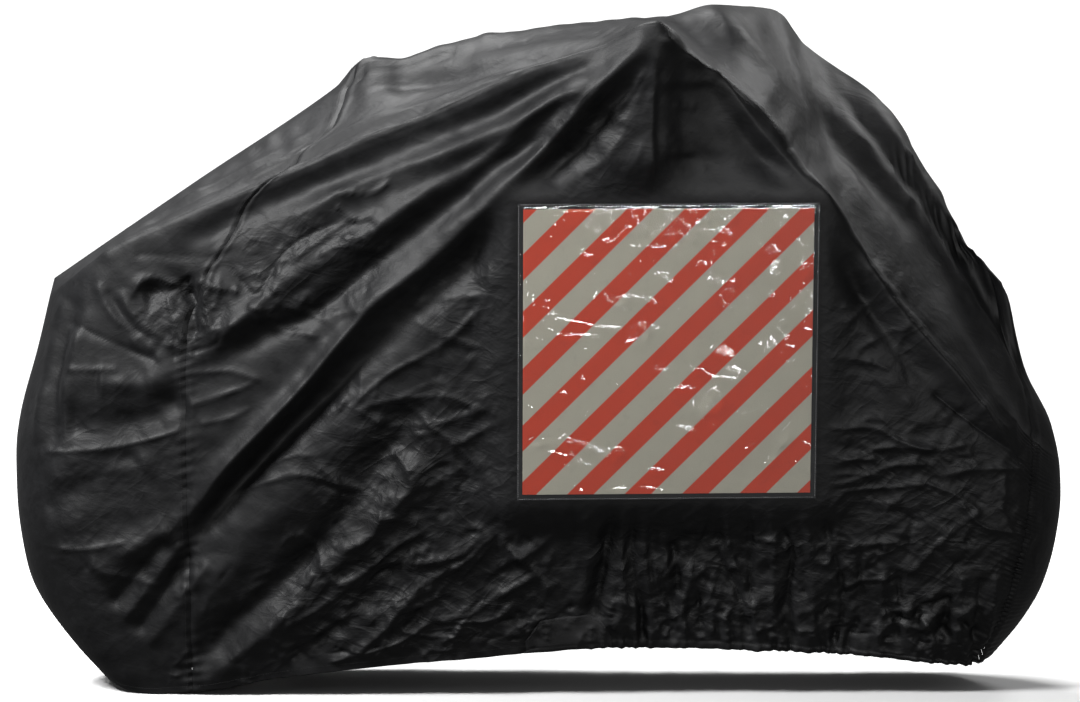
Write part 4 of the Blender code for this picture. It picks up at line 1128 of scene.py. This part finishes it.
def cloth_material(name, colour, gloss):
    """Thin coated cloth: a fine weave, small crinkles, and a soft sheen that varies."""
    made = Surface(name, Specular_IOR_Level=0.2, Sheen_Weight=0.015, Sheen_Roughness=0.4)
    place = made.place()
    broad = made.noise(place, 5.0, 4.0)
    fine = made.noise(place, 46.0, 5.0, 0.6, 0.5)
    slanted = made.scaled(place, (2.6, 1.2, 1.0), (0.0, math.radians(-38.0), 0.0))
    crossing = made.scaled(place, (2.2, 1.2, 1.0), (0.0, math.radians(15.0), 0.0))
    crinkle = abs(made.noise(slanted, 21.0, 2.5, 0.5, 0.35) - 0.5)
    small_crinkle = abs(made.noise(crossing, 33.0, 3.0, 0.5, 0.5) - 0.5)
    crumple = made.attribute("crumple")
    grain = made.noise(place, 260.0, 2.0)
    lighter = tuple(channel * 1.9 + 0.0012 for channel in colour)
    worn = (broad * 0.5 + fine * 0.5).between(0.38, 0.72)
    roughness = gloss + 0.1 * fine - 0.05 * broad
    normal = made.bumped(
        (grain, 0.0001),
        (crinkle * (crumple * 0.85 + 0.15), -0.0125),
        (small_crinkle * (crumple * 0.8 + 0.2), -0.006),
        (fine, 0.0005),
    )
    return made.finish(Base_Color=made.mixed(worn, colour, lighter), Roughness=roughness, Normal=normal)


def patch_material(colour):
    """The hem patch: a closer, duller cloth."""
    made = Surface("patch_surface", Specular_IOR_Level=0.25)
    place = made.place()
    weave = made.ribs(place, 300.0, "X") + made.ribs(place, 300.0, "Z")
    mottle = made.noise(place, 60.0, 4.0)
    lighter = tuple(channel * 1.8 for channel in colour)
    normal = made.bumped((weave, 0.00012), (mottle, 0.0012))
    shade = made.mixed(mottle, colour, lighter)
    return made.finish(Base_Color=shade, Roughness=0.62 + 0.15 * mottle, Normal=normal)


def board_material(settings):
    """Slanted red stripes on white reflecting sheet, with a faint cell pattern and a few scuffs."""
    made = Surface("board_surface", Specular_IOR_Level=0.45)
    corner = made.node("ShaderNodeUVMap", {"uv_map": "board"})
    parts = made.tree.nodes.new("ShaderNodeSeparateXYZ")
    made.join(parts.inputs[0], corner)
    across, up = Socket(made, parts.outputs["X"]), Socket(made, parts.outputs["Y"])
    periods = BOARD / settings.stripe_pitch
    phase = made.node("ShaderNodeMath", {"operation": "PINGPONG"}, {0: (across + (1 - up)) * periods, 1: 0.5})
    half = settings.stripe_share / 2
    soft = 0.006
    white = phase.between(half - soft, half + soft)
    place = made.place()
    cells = made.cells(place, 260.0).between(0.0, 0.12)
    mottle = made.noise(place, 14.0, 5.0)
    dirt = made.noise(place, 55.0, 6.0, 0.7).between(0.52, 0.75)
    red, pale = tuple(settings.stripe_colour), tuple(settings.board_colour)
    deep_red = tuple(channel * 0.8 for channel in red)
    dull_pale = tuple(channel * 0.82 for channel in pale)
    reds = made.mixed(mottle * 0.7 + dirt * 0.3, red, deep_red)
    pales = made.mixed(mottle * 0.6 + dirt * 0.4, pale, dull_pale)
    colour = made.mixed(white, reds, pales)
    normal = made.bumped((cells, 0.00008), (mottle, 0.0004))
    return made.finish(Base_Color=colour, Roughness=0.42 + 0.18 * dirt, Normal=normal)


def film_material():
    """Clear film: what is behind shows through, and the film mirrors a share of the light."""
    made = Surface("film_surface", Metallic=1.0, Roughness=0.07)
    made.shader.inputs["Base Color"].default_value = (0.95, 0.97, 1.0, 1.0)
    place = made.place()
    ripple = made.noise(place, 34.0, 4.0, 0.55, 1.2)
    fine = made.noise(place, 120.0, 3.0, 0.6, 0.6)
    normal = made.bumped((ripple, 0.0012), (fine, 0.0002))
    made.finish(Normal=normal, Roughness=0.02 + 0.05 * fine)
    clear = made.tree.nodes.new("ShaderNodeBsdfTransparent")
    clear.inputs["Color"].default_value = (0.96, 0.965, 0.96, 1.0)
    facing = made.node("ShaderNodeLayerWeight", {}, {"Blend": 0.25, "Normal": normal}, "Fresnel")
    haze = made.noise(place, 20.0, 5.0, 0.65).between(0.45, 0.8)
    share = 0.1 + 0.03 * haze + 0.25 * facing
    mix = made.tree.nodes.new("ShaderNodeMixShader")
    made.join(mix.inputs[0], share)
    made.tree.links.new(clear.outputs[0], mix.inputs[1])
    made.tree.links.new(made.shader.outputs[0], mix.inputs[2])
    output = next(node for node in made.tree.nodes if node.type == "OUTPUT_MATERIAL")
    made.tree.links.new(mix.outputs[0], output.inputs["Surface"])
    return made.material


def thread_material(name, colour):
    """Twisted sewing thread."""
    made = Surface(name, Specular_IOR_Level=0.35)
    place = made.place()
    twist = made.noise(place, 900.0, 3.0)
    lighter = tuple(min(1.0, channel * 1.6 + 0.01) for channel in colour)
    normal = made.bumped((twist, 0.0002))
    shade = made.mixed(twist, colour, lighter)
    return made.finish(Base_Color=shade, Roughness=0.5 + 0.3 * twist, Normal=normal)


def floor_material(colour):
    """Pale studio floor."""
    made = Surface("studio_floor", Specular_IOR_Level=0.2)
    grain = made.noise(made.place(), 3.0, 4.0)
    darker = tuple(channel * 0.985 for channel in colour)
    return made.finish(Base_Color=made.mixed(grain, colour, darker), Roughness=0.75 + 0.1 * grain)


# ---- pieces ----
def piece_from(name, mesh, surface, smooth_faces=True):
    """Puts a bmesh into the scene as an object with its material, at the origin."""
    data = bpy.data.meshes.new(name)
    mesh.to_mesh(data)
    mesh.free()
    if smooth_faces:
        data.shade_smooth()
    data.materials.append(surface)
    made = bpy.data.objects.new(name, data)
    bpy.context.scene.collection.objects.link(made)
    return made


def placed_grid(columns, rows, place):
    """A grid whose points are placed from their two fractions."""
    mesh = bmesh.new()
    bmesh.ops.create_grid(mesh, x_segments=columns, y_segments=rows, size=0.5)
    fractions = np.array([(vert.co.x + 0.5, vert.co.y + 0.5) for vert in mesh.verts])
    for vert, point in zip(mesh.verts, place(fractions[:, 0], fractions[:, 1])):
        vert.co = point
    bmesh.ops.remove_doubles(mesh, verts=mesh.verts, dist=1e-6)
    return mesh


def turned_cloth(along, around):
    """Points of the cloth, with the hem's turned-in edge where "around" runs past a hem."""
    inside = np.clip(np.maximum(-around, around - 4), 0, None)
    reached = np.where(around < 0, -around, np.where(around > 4, 8 - around, around))
    points = cloth(along, reached)
    turned = inside > 0
    if turned.any():
        depth = HEM_TURN * ease(inside[turned] / 0.005)
        points[turned] -= outward(along[turned], reached[turned]) * depth[:, None]
    return points


def cloth_piece(name, columns, rows, place, surface):
    """A cloth panel: its grid placed on the form, facing out, with how crumpled it is kept on its points."""
    mesh = placed_grid(columns, rows, place)
    mesh.normal_update()
    middle = Vector((0.0, 0.0, 0.55))
    facing = sum((face.normal.dot(face.calc_center_median() - middle) for face in mesh.faces), 0.0)
    if facing < 0:
        bmesh.ops.reverse_faces(mesh, faces=mesh.faces)
    made = piece_from(name, mesh, surface)
    count = len(made.data.vertices)
    places = np.empty(count * 3)
    made.data.vertices.foreach_get("co", places)
    places = places.reshape(-1, 3)
    values = made.data.attributes.new("crumple", "FLOAT", "POINT")
    values.data.foreach_set("value", crumple_share(places[:, (0, 2)]).astype(np.float32))
    return made


def spread(fraction, table):
    """Spreads a grid's rows: columns are share of the rows, and around."""
    shares, arounds = np.array(table).T
    return np.interp(fraction, shares / shares[-1], arounds)


def rear_hood(surface):
    """The tail hood, round the rear wheel and over the slope to the saddle."""

    def place(fraction, row):
        around = spread(row, HOOD_ROWS)
        reached = np.clip(around, 0, 4)
        along = (seam_along(REAR_SEAM, reached) - SEAM_GAP / 2 / MEAN_LENGTH) * fraction**1.25
        return turned_cloth(along, around)

    return cloth_piece("rear_hood_cloth", 96, HOOD_ROWS[-1][0], place, surface)


def front_hood(surface):
    """The front hood: a cap round the front wheel's end, up to the low point of the crown."""

    def place(fraction, row):
        around = spread(row, HOOD_ROWS)
        reached = np.clip(around, 0, 4)
        along = 1 - (1 - seam_along(FRONT_SEAM, reached) - SEAM_GAP / 2 / MEAN_LENGTH) * (1 - fraction) ** 1.4
        return turned_cloth(along, around)

    return cloth_piece("front_hood_cloth", 36, HOOD_ROWS[-1][0], place, surface)


def side(name, which, columns, table, surface):
    """One side, between the hood seams and up to the crown seam. which is -1 near and 1 far."""

    def place(fraction, row):
        around = spread(row, table)
        if which > 0:
            around = 4 - around
        reached = np.clip(around, 0, 4)
        start = seam_along(REAR_SEAM, reached) + SEAM_GAP / 2 / MEAN_LENGTH
        stop = seam_along(FRONT_SEAM, reached) - SEAM_GAP / 2 / MEAN_LENGTH
        return turned_cloth(start + (stop - start) * fraction, around)

    return cloth_piece(name, columns, table[-1][0], place, surface)


def merge_hidden(made):
    """Joins the flat cloth behind the board into one face, because nothing of it shows."""
    mesh = bmesh.new()
    mesh.from_mesh(made.data)
    half = BOARD / 2 - 0.012
    hidden = []
    for face in mesh.faces:
        centre = face.calc_center_median()
        inside = abs(centre.x - BOARD_CENTRE[0]) < half and abs(centre.z - BOARD_CENTRE[2]) < half
        if inside and centre.y < BOARD_CENTRE[1] + 0.1:
            hidden.append(face)
    bmesh.ops.dissolve_faces(mesh, faces=hidden, use_verts=False)
    loose = [vert for vert in mesh.verts if not vert.link_faces]
    bmesh.ops.delete(mesh, geom=loose, context="VERTS")
    mesh.to_mesh(made.data)
    mesh.free()
    made.data.shade_smooth()


def patch_place(fraction, row):
    """Where a point of the patch lies, as "along" and "around", and how high the patch is there."""
    start, stop = PATCH_SPAN
    x = start + (stop - start) * fraction
    corner = np.clip((fraction - 0.72) / 0.28, 0, 1)
    slant = np.clip(fraction / 0.2, 0, 1)
    top = PATCH_HEIGHT * np.sqrt(np.maximum(1 - corner**2, 0.09)) * (0.35 + 0.65 * slant)
    around = (0.003 + top * row) / SIDE_HEIGHT
    return (x - NEAR_HEM[0][0]) / (NEAR_HEM[-1][0] - NEAR_HEM[0][0]), around, top


def hem_patch(surface):
    """The reinforcement on the near hem: straight along the hem, round at its top front corner."""
    start, stop = PATCH_SPAN

    def place(fraction, row):
        along, around, top = patch_place(fraction, row)
        edge = np.minimum(np.minimum(fraction, 1 - fraction) * (stop - start), np.minimum(row, 1 - row) * top)
        stitched = 0.0009 * np.exp(-(((edge - 0.006) / 0.002) ** 2))
        rise = PATCH_OFF * (0.45 + 0.55 * ease(edge / 0.004)) - stitched
        return cloth(along, around) + outward(along, around) * rise[:, None]

    mesh = placed_grid(56, 26, place)
    mesh.normal_update()
    if sum(face.normal.y for face in mesh.faces) > 0:
        bmesh.ops.reverse_faces(mesh, faces=mesh.faces)
    return piece_from("hem_patch_cloth", mesh, surface)


def striped_board(surface):
    """The flat board in the pocket, with slightly rounded edges and its face laid out for the stripes."""
    mesh = bmesh.new()
    bmesh.ops.create_cube(mesh, size=1.0)
    low = BOARD_GAP
    for vert in mesh.verts:
        vert.co = Vector((vert.co.x * BOARD, low + (vert.co.y + 0.5) * BOARD_THICK, vert.co.z * BOARD))
    edges = [edge for edge in mesh.edges]
    bmesh.ops.bevel(
        mesh, geom=edges, offset=BOARD_BEVEL, offset_type="OFFSET",
        affect="EDGES", segments=2, profile=0.5, material=-1,
    )
    layer = mesh.loops.layers.uv.new("board")
    for face in mesh.faces:
        for loop in face.loops:
            loop[layer].uv = (loop.vert.co.x / BOARD + 0.5, loop.vert.co.z / BOARD + 0.5)
    corners = np.array([tuple(vert.co) for vert in mesh.verts])
    for vert, point in zip(mesh.verts, on_board(corners[:, 0], corners[:, 2], corners[:, 1])):
        vert.co = point
    bmesh.ops.recalc_face_normals(mesh, faces=mesh.faces)
    made = piece_from("striped_board", mesh, surface, smooth_faces=False)
    return made


def film_height(right, up):
    """How far the film stands off the board's plane, with its wrinkles and slack."""
    from_edge = FILM / 2 - np.maximum(np.abs(right), np.abs(up))
    lift = ease((from_edge - FILM_RIM) / FILM_STEP)
    places = np.stack([right, up], -1)
    wrinkles = 1.3 * fold_height(places, FILM_WRINKLES, (6.0, 6.0))
    wrinkles += fold_height(places, strewn(FILM_STREWN, 31), (4.0, 4.0))
    slack = 0.001 * waves(places, 37, 0.16, 8) + 0.0004 * waves(places, 41, 0.045, 8)
    height = FILM_LOW + (FILM_HIGH - FILM_LOW) * lift + lift * (wrinkles + slack)
    return np.maximum(height, FILM_LOW + (BOARD_GAP + BOARD_THICK + 0.0004 - FILM_LOW) * lift)


def pocket_film(surface):
    """The clear pocket over the board: a sewn rim, a low step, and wrinkled film."""

    def place(fraction, row):
        right, up = (fraction - 0.5) * FILM, (row - 0.5) * FILM
        return on_board(right, up, film_height(right, up))

    mesh = placed_grid(FILM_GRID, FILM_GRID, place)
    mesh.normal_update()
    if sum(face.normal.y for face in mesh.faces) > 0:
        bmesh.ops.reverse_faces(mesh, faces=mesh.faces)
    return piece_from("pocket_film", mesh, surface)


def stitch_matrix(start, length, walked, points, normals):
    """The matrix that makes a ball into the stitch that starts so far along a line."""
    first, last = (np.array([np.interp(reach, walked, points[:, axis]) for axis in range(3)])
                   for reach in (start, start + length))
    normal = Vector([np.interp(start, walked, normals[:, axis]) for axis in range(3)])
    way = Vector(last - first)
    across = normal.cross(way).normalized()
    up = across.cross(way).normalized()
    turn = Matrix((way.normalized(), across, up)).transposed().to_4x4()
    size = Matrix.Diagonal((way.length / 2, STITCH_WIDTH / 2, STITCH_WIDTH / 2.6, 1.0))
    return Matrix.Translation(Vector((first + last) / 2) + normal * STITCH_WIDTH * 0.15) @ turn @ size


def stitches(name, lines, pitch, surface):
    """Rows of stitches, one at each pitch. A line is its points and outward normals, close together."""
    whole = bmesh.new()
    for points, normals in lines:
        steps = np.linalg.norm(np.diff(points, axis=0), axis=1)
        walked = np.concatenate([[0], np.cumsum(steps)])
        starts = np.arange(pitch / 2, walked[-1] - pitch, pitch)
        for group in np.array_split(starts, max(1, len(starts) // 40)):
            mesh = bmesh.new()
            for start in group:
                matrix = stitch_matrix(start, pitch * STITCH_SHARE, walked, points, normals)
                bmesh.ops.create_uvsphere(mesh, u_segments=6, v_segments=4, radius=1.0, matrix=matrix)
            bmesh.ops.recalc_face_normals(mesh, faces=mesh.faces)
            part = bpy.data.meshes.new("stitch_group")
            mesh.to_mesh(part)
            mesh.free()
            whole.from_mesh(part)
            bpy.data.meshes.remove(part)
    return piece_from(name, whole, surface)


def cloth_line(along, around):
    """A line on the cloth and its outward normals."""
    return cloth(along, around), outward(along, around)


def seam_lines():
    """Where the hood seams and the crown seam are topstitched."""
    around = np.linspace(0.004, 3.996, 900)
    lines = []
    for table, sign in ((REAR_SEAM, -1), (FRONT_SEAM, 1)):
        beside = seam_along(table, around) + sign * 0.0085 / MEAN_LENGTH
        lines.append(cloth_line(beside, around))
    first = along_at(np.array([-0.285]), np.array([2.0]))[0]
    last = along_at(np.array([0.765]), np.array([2.0]))[0]
    along = np.linspace(first, last, 500)
    lines.append(cloth_line(along, np.full_like(along, 2.0 - 0.008 / TOP_WIDTH)))
    return lines


def hem_lines():
    """Where the hem is topstitched, on both sides."""
    along = np.linspace(0.012, 0.988, 900)
    return [cloth_line(along, np.full_like(along, height)) for height in
            (HEM_BAND / SIDE_HEIGHT, 4 - HEM_BAND / SIDE_HEIGHT)]


def patch_lines():
    """The hem patch's stitching, just inside its edge."""
    fraction = np.concatenate([np.full(20, 0.04), np.linspace(0.04, 0.95, 60), np.full(20, 0.95)])
    row = np.concatenate([np.linspace(0.12, 0.9, 20), np.full(60, 0.9), np.linspace(0.9, 0.12, 20)])
    along, around, _ = patch_place(fraction, row)
    normals = outward(along, around)
    return [(cloth(along, around) + normals * PATCH_OFF, normals)]


def pocket_lines():
    """The pocket's stitching, round its rim."""
    half = FILM / 2 - FILM_RIM / 2
    corners = ((-half, -half), (half, -half), (half, half), (-half, half), (-half, -half))
    lines = []
    for (x0, z0), (x1, z1) in zip(corners[:-1], corners[1:]):
        t = np.linspace(0, 1, 120)
        right, up = x0 + (x1 - x0) * t, z0 + (z1 - z0) * t
        points = on_board(right, up, np.full_like(t, FILM_LOW))
        out = on_board(right, up, np.full_like(t, FILM_LOW + 1.0)) - points
        lines.append((points, out))
    return lines


# ---- settings ----
def colour_property(name, description, colour):
    """A colour that the user may change."""
    return FloatVectorProperty(
        name=name, description=description, default=colour, size=3, min=0.0, max=1.0, subtype="COLOR"
    )


class CoverSettings(bpy.types.PropertyGroup):
    """Colours and pitches of the cover."""

    cloth_colour: colour_property("Cloth", "Colour of the cover's cloth", (0.0052, 0.0053, 0.0058))
    patch_colour: colour_property("Hem patch", "Colour of the patch on the hem", (0.008, 0.008, 0.0085))
    thread_colour: colour_property("Thread", "Colour of the cover's sewing thread", (0.012, 0.012, 0.013))
    pale_thread_colour: colour_property("Pocket thread", "Colour of the pocket's thread", (0.3, 0.3, 0.31))
    cloth_gloss: FloatProperty(
        name="Cloth roughness", description="How dull the cloth is", default=0.5, min=0.2, max=0.8
    )
    stripe_colour: colour_property("Stripes", "Colour of the board's stripes", (0.86, 0.07, 0.016))
    board_colour: colour_property("Board", "Colour between the stripes", (0.66, 0.63, 0.52))
    stripe_pitch: FloatProperty(
        name="Stripe pitch", description="From stripe to stripe, along the board's edge",
        default=0.1, min=0.02, max=0.25, unit="LENGTH",
    )
    stripe_share: FloatProperty(
        name="Stripe share", description="Part of each pitch that is coloured", default=0.46, min=0.1, max=0.9
    )


class StageSettings(bpy.types.PropertyGroup):
    """Floor and light."""

    floor_colour: colour_property("Floor", "Colour of the studio floor", (0.87, 0.87, 0.87))
    floor_size: FloatProperty(
        name="Floor size", description="Length of the floor's sides", default=90.0, min=5.0, unit="LENGTH"
    )
    world_light: FloatProperty(
        name="Room light", description="Strength of the even light all round", default=0.16, min=0.0
    )
    view_distance: FloatProperty(
        name="Camera distance", description="From the camera to the cover",
        default=8.0, min=2.0, unit="LENGTH",
    )
    view_width: FloatProperty(
        name="View width", description="How wide the camera sees at the cover",
        default=1.868, min=0.5, unit="LENGTH",
    )
    view_rise: FloatProperty(
        name="Camera rise", description="How far the camera looks down",
        default=math.radians(7.0), unit="ROTATION",
    )


# ---- operators ----
def remade(names):
    """Takes away earlier objects of these names, so that a piece can be made again."""
    for name in names:
        old = bpy.data.objects.get(name)
        if old is not None:
            bpy.data.objects.remove(old)


def cover_cloth():
    """The cover's cloth material, made once."""
    settings = bpy.context.scene.cover_settings
    found = bpy.data.materials.get("draped_cloth")
    return found or cloth_material("draped_cloth", tuple(settings.cloth_colour), settings.cloth_gloss)


def placed(made, node):
    """Joins a piece to the body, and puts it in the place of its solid."""
    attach(made, "root")
    if node is not None:
        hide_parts(node)


class COVER_OT_rear_hood(bpy.types.Operator):
    """Make the tail hood, round the rear wheel and over the slope to the saddle"""

    bl_idname = "cover.rear_hood"
    bl_label = "Rear Hood"
    bl_options = {"REGISTER", "UNDO"}

    def execute(self, context):
        remade(["rear_hood_cloth"])
        made = rear_hood(cover_cloth())
        placed(made, "rear_panel")
        return {"FINISHED"}


class COVER_OT_sides(bpy.types.Operator):
    """Make the two side panels, from the hems over the shoulders to the crown seam"""

    bl_idname = "cover.sides"
    bl_label = "Side Panels"
    bl_options = {"REGISTER", "UNDO"}

    def execute(self, context):
        remade(["near_side_cloth", "far_side_cloth"])
        surface = cover_cloth()
        near = side("near_side_cloth", -1, 390, SIDE_ROWS, surface)
        merge_hidden(near)
        placed(near, "side_panel_near")
        far = side("far_side_cloth", 1, 300, FAR_ROWS, surface)
        placed(far, "side_panel_far")
        return {"FINISHED"}


class COVER_OT_front_hood(bpy.types.Operator):
    """Make the front hood, round the front wheel's end and up to the crown's low point"""

    bl_idname = "cover.front_hood"
    bl_label = "Front Hood"
    bl_options = {"REGISTER", "UNDO"}

    def execute(self, context):
        remade(["front_hood_cloth"])
        made = front_hood(cover_cloth())
        placed(made, "front_panel")
        return {"FINISHED"}


class COVER_OT_hem_patch(bpy.types.Operator):
    """Make the reinforcement patch on the near hem"""

    bl_idname = "cover.hem_patch"
    bl_label = "Hem Patch"
    bl_options = {"REGISTER", "UNDO"}

    def execute(self, context):
        remade(["hem_patch_cloth"])
        made = hem_patch(patch_material(tuple(context.scene.cover_settings.patch_colour)))
        placed(made, "hem_patch")
        return {"FINISHED"}


class COVER_OT_board(bpy.types.Operator):
    """Make the striped board that stands in the pocket"""

    bl_idname = "cover.board"
    bl_label = "Striped Board"
    bl_options = {"REGISTER", "UNDO"}

    def execute(self, context):
        remade(["striped_board"])
        made = striped_board(board_material(context.scene.cover_settings))
        placed(made, "warning_board")
        return {"FINISHED"}


class COVER_OT_film(bpy.types.Operator):
    """Make the clear pocket over the board"""

    bl_idname = "cover.film"
    bl_label = "Clear Pocket"
    bl_options = {"REGISTER", "UNDO"}

    def execute(self, context):
        remade(["pocket_film"])
        made = pocket_film(film_material())
        placed(made, "window_film")
        return {"FINISHED"}


class COVER_OT_stitching(bpy.types.Operator):
    """Make the rows of stitches along the seams, the hems, the patch and the pocket"""

    bl_idname = "cover.stitching"
    bl_label = "Stitching"
    bl_options = {"REGISTER", "UNDO"}

    def execute(self, context):
        settings = context.scene.cover_settings
        remade(["seam_stitches", "hem_stitches", "patch_stitches", "pocket_stitches"])
        dark = thread_material("dark_thread", tuple(settings.thread_colour))
        pale = thread_material("pale_thread", tuple(settings.pale_thread_colour))
        rows = (
            ("seam_stitches", seam_lines(), SEAM_PITCH, dark, "cover_cloth"),
            ("hem_stitches", hem_lines(), HEM_PITCH, dark, "cover_cloth"),
            ("patch_stitches", patch_lines(), HEM_PITCH, dark, "patch_cloth"),
            ("pocket_stitches", pocket_lines(), POCKET_PITCH, pale, "cover_cloth"),
        )
        for name, lines, pitch, surface, slot in rows:
            placed(stitches(name, lines, pitch, surface), None)
        return {"FINISHED"}


def area_light(name, place, target, size, power):
    """A soft lamp that the camera doesn't see."""
    data = bpy.data.lights.new(name, "AREA")
    data.shape = "RECTANGLE"
    data.size, data.size_y = size
    data.energy = power
    lamp = bpy.data.objects.new(name, data)
    lamp.location = place
    lamp.rotation_euler = (Vector(target) - Vector(place)).to_track_quat("-Z", "Y").to_euler()
    lamp.visible_camera = False
    bpy.context.scene.collection.objects.link(lamp)
    return lamp


class COVER_OT_stage(bpy.types.Operator):
    """Make the studio floor, the lights and the camera"""

    bl_idname = "cover.stage"
    bl_label = "Studio"
    bl_options = {"REGISTER", "UNDO"}

    def execute(self, context):
        scene, settings = context.scene, context.scene.cover_stage
        remade(["studio_floor"])
        mesh = bmesh.new()
        bmesh.ops.create_grid(mesh, x_segments=1, y_segments=1, size=settings.floor_size / 2)
        floor = piece_from("studio_floor", mesh, floor_material(tuple(settings.floor_colour)))
        floor.visible_diffuse = False
        floor.visible_glossy = False

        world = bpy.data.worlds.new("studio_world")
        world.use_nodes = True
        back = world.node_tree.nodes["Background"]
        back.inputs["Color"].default_value = (1.0, 1.0, 1.0, 1.0)
        back.inputs["Strength"].default_value = settings.world_light
        scene.world = world

        sun = bpy.data.lights.new("sky_sun", "SUN")
        sun.energy, sun.angle = 4.6, math.radians(24.0)
        lamp = bpy.data.objects.new("sky_sun", sun)
        lamp.rotation_euler = Vector((0.28, -0.42, -1.0)).to_track_quat("-Z", "Y").to_euler()
        scene.collection.objects.link(lamp)
        for name, place, target, size, power, diffuse in LAMPS:
            area_light(name, place, target, size, power).visible_diffuse = diffuse

        camera = bpy.data.cameras.new("studio_camera")
        camera.sensor_width = 36.0
        camera.lens = camera.sensor_width * settings.view_distance / settings.view_width
        camera.clip_end = 100.0
        eye = bpy.data.objects.new("studio_camera", camera)
        eye.rotation_euler = (math.radians(90.0) - settings.view_rise, 0.0, 0.0)
        back_way = Vector((0.0, -math.cos(settings.view_rise), math.sin(settings.view_rise)))
        eye.location = Vector(LOOK_AT) + back_way * settings.view_distance
        scene.collection.objects.link(eye)
        scene.camera = eye
        scene.view_settings.view_transform = "Standard"
        return {"FINISHED"}


class COVER_PT_panel(bpy.types.Panel):
    """The cover's pieces and settings"""

    bl_label = "Bicycle Cover"
    bl_idname = "COVER_PT_panel"
    bl_space_type = "VIEW_3D"
    bl_region_type = "UI"
    bl_category = "Cover"

    def draw(self, context):
        layout = self.layout
        for operator in OPERATORS:
            layout.operator(operator.bl_idname)
        for group in (context.scene.cover_settings, context.scene.cover_stage):
            column = layout.column()
            for name in group.bl_rna.properties.keys():
                if name not in ("rna_type", "name"):
                    column.prop(group, name)


OPERATORS = (
    COVER_OT_rear_hood, COVER_OT_sides, COVER_OT_front_hood, COVER_OT_hem_patch, COVER_OT_board,
    COVER_OT_film, COVER_OT_stitching, COVER_OT_stage,
)
CLASSES = (CoverSettings, StageSettings, *OPERATORS, COVER_PT_panel)


def register():
    """Adds the add-on's classes and its settings."""
    for made in CLASSES:
        bpy.utils.register_class(made)
    bpy.types.Scene.cover_settings = PointerProperty(type=CoverSettings)
    bpy.types.Scene.cover_stage = PointerProperty(type=StageSettings)


def unregister():
    """Takes the add-on's classes and settings away again."""
    del bpy.types.Scene.cover_stage
    del bpy.types.Scene.cover_settings
    for made in reversed(CLASSES):
        bpy.utils.unregister_class(made)


def main():
    """Makes every piece and the studio."""
    register()
    bpy.ops.cover.rear_hood()
    bpy.ops.cover.sides()
    bpy.ops.cover.front_hood()
    bpy.ops.cover.hem_patch()
    bpy.ops.cover.board()
    bpy.ops.cover.film()
    bpy.ops.cover.stitching()
    bpy.ops.cover.stage()


if __name__ == "__main__":
    main()
